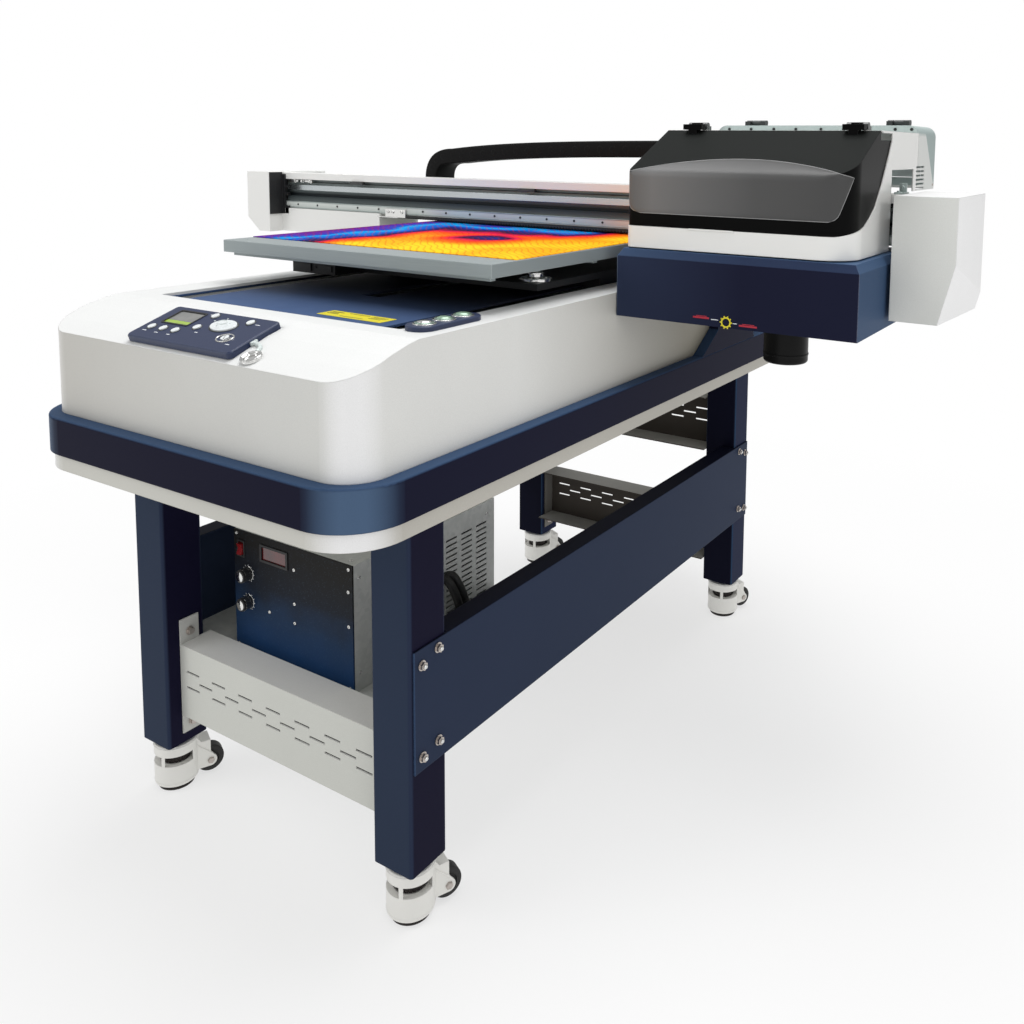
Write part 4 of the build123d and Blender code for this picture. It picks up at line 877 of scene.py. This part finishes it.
def console_details():
    top = CONSOLE_TOP
    bezel = Shape(CONSOLE_FRAME)
    outer, inner = rounded_rect(33.5, 21.5, 4), rounded_rect(30.4, 18.4, 2.5)
    levels = ((outer, top - 0.2), (outer, top + 0.9), (inner, top + 0.9), (inner, top - 1.4))
    bezel.loft([[(SCREEN[0] + a, SCREEN[1] + b, z) for a, b in loop] for loop, z in levels], closed=True)
    bezel.done("screen_bezel", "black_paint", 0.2, slot="console_plastic")
    for name, finish, half, middle in (("screen_glass", "lcd_grey", 13.2, 23.0),
                                       ("screen_status_strip", "lcd_green", 5.0, 4.6)):
        glass = Shape(CONSOLE_FRAME)
        glass.prism(rounded_rect(30.6, half, 1.5), top - 1.5, top - 0.5,
                    lambda a, b, level: (SCREEN[0] + a, middle + b, level))
        glass.done(name, finish, 0.2, slot="console_plastic")

    collars = Shape(CONSOLE_FRAME)
    for x, y in KEYS:
        collars.ring((x, y, top + 0.1), UP, 7.6, 0.7)
    collars.ring((*DIAL, top + 0.1), UP, 27.6, 0.9, 56, 17.4 / 27.6)
    collars.done("key_collars", "dark_plastic", slot="console_plastic")

    marks = Shape(CONSOLE_FRAME)
    for x, y, length in ((-103, -30, 10), (-72, -31, 9), (-42, -31, 8), (4, -14, 7), (94, 30, 10),
                         (-24, 38, 5), (97, -30, 9)):
        marks.box(x - length / 2, x + length / 2, y - 0.8, y + 0.8, top - 0.3, top + 0.12)
    marks.done("console_marks", "mark_white", slot="console_plastic")

    start = Shape(CONSOLE_FRAME)
    start.ring((*START_KEY, top + 0.3), UP, 15.5, 1.3, 48, 0.72)
    x, y = START_KEY
    start.tube([(x - 13 + 3 * k, y + 7 * math.sin(k * 0.75), top + 1.3) for k in range(10)], 1.2, 8)
    start.done("start_key_ring", "chrome_parts")

    dial = Shape(CONSOLE_FRAME)
    dial.ring((*DIAL, 18.4), UP, 10, 0.6, 40, 0.64)
    for k in range(4):
        t = math.pi / 2 * k
        x, y = DIAL[0] + 17.5 * math.cos(t), DIAL[1] + 10.8 * math.sin(t)
        dial.lathe([(0, 1.9), (1, 1.7)], (x, y, 18.2), (x, y, 18.9), 3)
    dial.done("dial_marks", "pale_grey_paint", slot="key_plastic", body="console_dial")

    socket = Shape(CONSOLE_FRAME)
    socket.lathe([(0, 16), (0.35, 16), (0.6, 14), (0.6, 11), (0.25, 10)], (*SOCKET, -0.8), (*SOCKET, 6.2), 40)
    socket.ring((*SOCKET, 3.4), UP, 14.4, 1.8)
    socket.done("cable_socket", "chrome_parts")
    cable = Shape(CONSOLE_FRAME)
    cable.tube([(152, -24, 2.6), (148, -14, 3.2), (141, -9, 3.6), (132, -7, 4.0), (123, -6, 4.4)], 3.4, 12)
    cable.box(120, 128, -12, 0, 1.6, 7.6)
    cable.done("socket_cable", "pale_grey_paint", 0.6, slot="key_plastic")


# ---------------------------------------------------------------- button pad and deck label
PAD_X, PAD_Y, PAD_STEP, PAD_Z = 316.0, -522.0, 44.0, 933.0
LABEL_PLACE = (138.0, -531.0, 928.0)


def pad_details():
    rims = Shape()
    for k, name in ((-1, "front"), (0, "middle"), (1, "rear")):
        y = PAD_Y + k * PAD_STEP
        rims.ring((PAD_X, y, PAD_Z + 8.1), UP, 17.0, 1.3)
        profile = [(0, 11.5)] + [(math.sin(math.radians(a)), 11.5 * math.cos(math.radians(a)) + 0.01)
                                 for a in (25, 50, 70, 84)]
        cap = Shape()
        cap.lathe(profile, (PAD_X, y, PAD_Z + 10.8), (PAD_X, y, PAD_Z + 13.4), 32)
        cap.done("pad_lens_" + name, "chrome_parts" if name == "front" else "pad_lens", angle=60,
                 slot="button_metal", body="pad_button_" + name)
    rims.done("pad_rims", "chrome_parts")


def deck_label():
    turn = Matrix.Translation(LABEL_PLACE) @ Matrix.Rotation(math.radians(-1), 4, "Z")
    plate = Shape(turn)
    plate.prism(rounded_rect(72, 19, 1.5), 0.0, 0.5)
    plate.done("deck_label", "label_yellow", 0.1, slot="deck_paint")
    lines = Shape(turn)
    for x0, x1, y0, y1 in ((-64, -38, 8, 11), (-64, -44, 2, 4), (-64, -40, -4, -2), (-26, 20, 10.5, 12),
                           (-26, 26, -12, -10.5), (30, 62, 9, 11), (30, 62, 3, 4.4), (30, 56, -3, -1.6)):
        lines.box(x0, x1, y0, y1, 0.3, 0.75)
    lines.done("deck_label_lines", "mark_black", slot="deck_paint")


# ---------------------------------------------------------------- table details
def table_details():
    blocks = Shape()
    blocks.boxes((-276, -226, -303, -299, 950, 966), (-200, -168, -302.5, -299, 952, 964),
                 (-240, -180, 330, 396, 957.6, 984))
    blocks.screws([(-214, -300, 960)], FORWARD, 3, 2)
    blocks.done("table_end_block", "black_paint", 1.0, body="table")

    posts = Shape()
    for x in (-250, 250):
        for y in (-192, 380):
            posts.ring((x, y, 963.4), UP, 26, 1.8)
            posts.lathe([(0, 16), (0.3, 16), (0.5, 12), (1, 10)], (x, y, 971.5), (x, y, 979), 6)
            turns = [2 * math.pi * k / 3 + 0.4 for k in range(3)]
            posts.screws([(x + 20 * math.cos(t), y + 20 * math.sin(t), 963) for t in turns], UP, 3, 2.4)
    posts.done("post_fittings", "chrome_parts", 0.3, body="table")

    ribs = Shape()
    for x in (-240, -80, 80, 240):
        ribs.box(x - 14, x + 14, -410, 500, 987.5, 993.4)
    for y in (-412, -100, 200, 486):
        ribs.box(-318, 318, y, y + 14, 986.5, 993.4)
    ribs.done("platen_ribs", "platen_aluminium", 0.6, body="table")

    screws = Shape()
    screws.screws([(x, -395, 1017) for x in (-300, -150, 0, 150, 300)], UP, 3.2, 0.4)
    screws.done("platen_screws", "platen_aluminium", body="table")


# ---------------------------------------------------------------- lamp driver
DRIVER_FACE, DRIVER_LEFT, DRIVER_RIGHT, DRIVER_TOP, DRIVER_BACK = -520.0, -198, 108, 495, -135
KNOB_X, KNOBS = -160, {"upper": 417, "lower": 363}
HOSE_SHIFTS = (0, 18)
CABLE_SOCKETS = ((-60, 320), (-20, 340), (30, 300))


def driver_details():
    y = DRIVER_FACE
    glass = Shape()
    glass.box(-121.6, -56.4, y + 0.6, y + 2.4, 452.4, 477.6)
    glass.done("driver_display", "display_red", 0.3, slot="panel_paint")
    bezel = Shape()
    display = ((-126, -52, 477, 481.5), (-126, -52, 448.5, 453), (-126, -121, 453, 477), (-57, -52, 453, 477))
    rocker = ((-188, -168, 473.5, 477), (-188, -168, 445, 448.5), (-188, -185.2, 448, 474),
              (-170.8, -168, 448, 474))
    for bars, lift in ((display, 2.2), (rocker, 2.0)):
        bezel.boxes(*[(x0, x1, y - lift, y + 0.5, z0, z1) for x0, x1, z0, z1 in bars])
    bezel.done("driver_bezels", "knob_plastic", 0.5, slot="panel_paint")

    screws = Shape()
    face = ((-36, 454), (-36, 391), (-36, 355), (-103, 358), (99, 448), (99, 386), (-190, 488), (100, 488),
            (-190, 275), (100, 275))
    screws.screws([(x, y, z) for x, z in face], FORWARD, 3.4, 2.0)
    for x, normal in ((DRIVER_RIGHT, RIGHT), (DRIVER_LEFT, LEFT)):
        side = ((-505, 470), (-505, 300), (-440, 482), (-160, 470), (-160, 300))
        screws.screws([(x, along, z) for along, z in side], normal, 3.2, 1.8)
    screws.screws([(x, along, DRIVER_TOP) for x in (-180, -45, 90) for along in (-505, -150)], UP, 3.2, 1.8)
    screws.done("driver_screws", "chrome_parts", slot="bolt_steel")

    marks, collars = Shape(), Shape()
    for name, z in KNOBS.items():
        collars.ring((KNOB_X, y - 0.4, z), BACKWARD, 13.4, 0.8)
        for k in range(11):
            t = math.radians(-60 + 30 * k)
            mark_x, mark_z = KNOB_X + 15.5 * math.cos(t), z + 15.5 * math.sin(t)
            marks.rod((mark_x, y + 0.2, mark_z), (mark_x, y - 0.35, mark_z), 0.8, 8)
        cap = Shape()
        cap.lathe([(0, 9.4), (0.7, 9.4), (1, 8.6)], (KNOB_X, y - 19.6, z), (KNOB_X, y - 20.8, z), 32)
        for k in range(24):
            t = 2 * math.pi * k / 24
            grip_x, grip_z = KNOB_X + 12.0 * math.cos(t), z + 12.0 * math.sin(t)
            cap.rod((grip_x, y - 3, grip_z), (grip_x, y - 15, grip_z), 0.55, 6)
        cap.done("knob_cap_" + name, "chrome_parts", angle=50, body="knob_" + name)
    marks.done("knob_scales", "mark_white", slot="panel_paint")
    collars.done("knob_collars", "chrome_parts")


def corrugated(i):
    return 8.6 if i % 2 else 7.2


def smooth_path(points, steps):
    """Catmull-Rom curve through the points."""
    path = []
    pts = [Vector(p) for p in (points[0], *points, points[-1])]
    for a, b, c, d in zip(pts, pts[1:], pts[2:], pts[3:]):
        for k in range(steps):
            t = k / steps
            path.append(0.5 * (2 * b + (c - a) * t + (2 * a - 5 * b + 4 * c - d) * t * t
                               + (3 * b - a - 3 * c + d) * t ** 3))
    return path + [pts[-1]]


def hoses():
    """Corrugated hoses looped from the lamp driver down to the shelf, and smaller cables beside it."""
    pair = Shape()
    for shift in HOSE_SHIFTS:
        path = [(112, -346, 384), (128, -338, 400), (136, -314, 398), (138, -290, 360), (134, -268, 312),
                (128, -252, 284), (124, -200, 276), (122, -146, 276)]
        pair.tube(smooth_path([(x, y + shift, z) for x, y, z in path], 24), corrugated, 12)
    pair.done("driver_hoses", "hose_black", angle=60, slot="bottle_plastic")

    cables = Shape()
    for k, (x, z) in enumerate(CABLE_SOCKETS):
        path = [(x, DRIVER_BACK, z), (x, -112, z), (x + 6, -92, z + 30 + 14 * k), (x - 8 * k, -84, z + 150),
                (x - 12 * k, -90, 560), (x - 12 * k, -96, 662)]
        cables.tube(smooth_path(path, 12), 4.0 - 0.5 * k)
    for k in range(4):
        y = -470 + 30 * k
        path = [(-200, y, 300 + 8 * k), (-222, y - 6, 296), (-246, y + 10, 276 + 6 * k), (-262, y + 60, 280),
                (-268, y + 160, 330), (-262, y + 220, 470), (-258, y + 230, 662)]
        cables.tube(smooth_path(path, 14), 4.4)
    cables.done("loose_cables", "hose_black", angle=60, slot="bottle_plastic")

    glands = Shape()
    for x, z in CABLE_SOCKETS:
        glands.lathe([(0, 9), (0.4, 9), (0.5, 7), (1, 6)], (x, DRIVER_BACK, z), (x, DRIVER_BACK + 14, z), 12)
    for shift in HOSE_SHIFTS:
        y = -346 + shift
        glands.lathe([(0, 11.5), (0.5, 11.5), (1, 9.6)], (DRIVER_RIGHT, y, 382),
                     (DRIVER_RIGHT + 8, y, 385), 12)
    glands.done("cable_glands", "knob_plastic", 0.3, slot="bottle_plastic")


# ---------------------------------------------------------------- stand details
LEG_X, LEG_Y, CASTER_ANGLE = 297.0, 586.0, 65
BOLT_FACE = 347.0


def stand_details():
    for name, x, y in (("front_left", -LEG_X, -LEG_Y), ("front_right", LEG_X, -LEG_Y),
                       ("rear_left", -LEG_X, LEG_Y), ("rear_right", LEG_X, LEG_Y)):
        place = Matrix.Translation((x, y, 0)) @ Matrix.Rotation(math.radians(CASTER_ANGLE), 4, "Z")
        nuts, ribs, lip = Shape(place), Shape(place), Shape(place)
        for side in (-1, 1):
            nuts.lathe([(0, 6.5), (0.6, 6.5), (1, 5.2)], (58, side * 17, 28.5), (58, side * 20.5, 28.5), 6)
            ribs.tube([(20, side * 17.2, 80), (40, side * 17.2, 60), (60, side * 17.2, 42)], 1.6, 8)
        nuts.done("axle_nuts_" + name, "bolt_steel", 0.3, body="caster_" + name)
        ribs.ring((0, 0, 84), UP, 37.6, 1.4, 48)
        ribs.ring((0, 0, 15), UP, 37.4, 1.2, 48)
        ribs.done("fork_ribs_" + name, "caster_paint", body="caster_" + name)
        lip.ring((0, 0, 2.2), UP, 30.6, 1.4, 48)
        lip.done("pad_lip_" + name, "foot_rubber", body="foot_" + name)

    lining = Shape()
    lining.box(-254, 254, -594.4, -593.2, 198, 250)
    lining.done("crossbar_lining", "dark_plastic", 0.3, slot="black_paint")

    bolts = Shape()
    for side in (-1, 1):
        for end in (-1, 1):
            for y, z in ((604, 430), (568, 442), (604, 284), (568, 292)):
                bolts.lathe([(0, 3.4), (0.7, 3.4), (1, 2.4)], (side * BOLT_FACE, end * y, z),
                            (side * (BOLT_FACE + 3.2), end * y, z), 16)
    bolts.done("bolt_ends", "chrome_parts", slot="bolt_steel")


# ---------------------------------------------------------------- scene
WORLD_LIGHT = 0.55
LIGHT_TARGET = Vector((0.1, -0.2, 0.75))
LIGHTS = [
    ("key", (-3.4, -4.6, 3.8), 3.0, 60),
    ("right", (4.2, -2.2, 2.6), 2.2, 20),
    ("top", (0.2, 0.4, 4.2), 3.0, 110),
]
CAMERA_PLACE = (1.2843, -1.6295, 1.2052)
CAMERA_AZIMUTH, CAMERA_ELEVATION, CAMERA_ROLL = 30.96, 5.89, 0.76
CAMERA_LENS, CAMERA_SHIFT = 33.72, (-0.101, -0.259)


def floor():
    """Pale floor that fades into white light away from the machine."""
    bpy.ops.mesh.primitive_plane_add(size=60, location=(0, 0, -0.0005))
    plane = bpy.context.object
    plane.name = "floor"
    n = Nodes("floor")
    n.look(n.mix(n.noise(0.8, 2.0), (0.90, 0.90, 0.90, 1), (0.92, 0.92, 0.92, 1)), 0.9, 0.1)
    glow = n.span(n.vector_math("LENGTH", n.coords), 0.7, 2.2, 0.62, 1.0)
    blend = n.add("ShaderNodeMixShader")
    n.link(glow, blend.inputs[0])
    n.link(n.shader.outputs[0], blend.inputs[1])
    n.link(n.add("ShaderNodeEmission").outputs[0], blend.inputs[2])
    output = next(node for node in n.tree.nodes if node.type == "OUTPUT_MATERIAL")
    n.link(blend.outputs[0], output.inputs["Surface"])
    plane.data.materials.append(n.material)


def studio():
    """White sky that lights less than it shows, and soft round lamps."""
    world = bpy.data.worlds.new("studio")
    bpy.context.scene.world = world
    world.use_nodes = True
    tree = world.node_tree
    background = tree.nodes["Background"]
    background.inputs["Color"].default_value = (1, 1, 1, 1)
    path = tree.nodes.new("ShaderNodeLightPath")
    strength = tree.nodes.new("ShaderNodeMapRange")
    strength.inputs["To Min"].default_value = WORLD_LIGHT
    strength.inputs["To Max"].default_value = 1.0
    tree.links.new(path.outputs["Is Camera Ray"], strength.inputs["Value"])
    tree.links.new(strength.outputs["Result"], background.inputs["Strength"])
    for name, place, size, power in LIGHTS:
        light = bpy.data.lights.new(name, "AREA")
        light.shape = "DISK"
        light.size = size
        light.energy = power
        lamp = bpy.data.objects.new(name, light)
        lamp.location = place
        lamp.rotation_euler = (LIGHT_TARGET - Vector(place)).to_track_quat("-Z", "Y").to_euler()
        bpy.context.scene.collection.objects.link(lamp)


def camera():
    """Camera of the main view. A driver keeps its lens shift only where it first stands."""
    data = bpy.data.cameras.new("camera")
    data.lens = CAMERA_LENS
    data.sensor_width = 36
    cam = bpy.data.objects.new("camera", data)
    bpy.context.scene.collection.objects.link(cam)
    a, e, r = (math.radians(v) for v in (CAMERA_AZIMUTH, CAMERA_ELEVATION, CAMERA_ROLL))
    back = Vector((math.sin(a) * math.cos(e), -math.cos(a) * math.cos(e), math.sin(e)))
    right = Vector((math.cos(a), math.sin(a), 0))
    up = back.cross(right)
    x_axis = right * math.cos(r) + up * math.sin(r)
    y_axis = -right * math.sin(r) + up * math.cos(r)
    cam.matrix_world = Matrix.Translation(CAMERA_PLACE) @ Matrix((x_axis, y_axis, back)).transposed().to_4x4()
    bpy.context.scene.camera = cam
    stand = bpy.data.objects.new("camera_stand", None)
    stand.location = CAMERA_PLACE
    bpy.context.scene.collection.objects.link(stand)
    for name, value in zip(("shift_x", "shift_y"), CAMERA_SHIFT):
        curve = data.driver_add(name)
        curve.driver.type = "SUM"
        variable = curve.driver.variables.new()
        variable.type = "LOC_DIFF"
        variable.targets[0].id = cam
        variable.targets[1].id = stand
        for modifier in list(curve.modifiers):
            curve.modifiers.remove(modifier)
        for distance, level in ((0.0, value), (0.1, value), (0.3, 0.0)):
            key = curve.keyframe_points.insert(distance, level)
            key.interpolation = "LINEAR"


dress_cad_nodes()
for build in (beam_details, chain, visor_details, carriage_details, station_details, console_details,
              pad_details, deck_label, table_details, driver_details, hoses, stand_details, floor, studio,
              camera):
    build()
bpy.context.scene.view_settings.view_transform = "Standard"
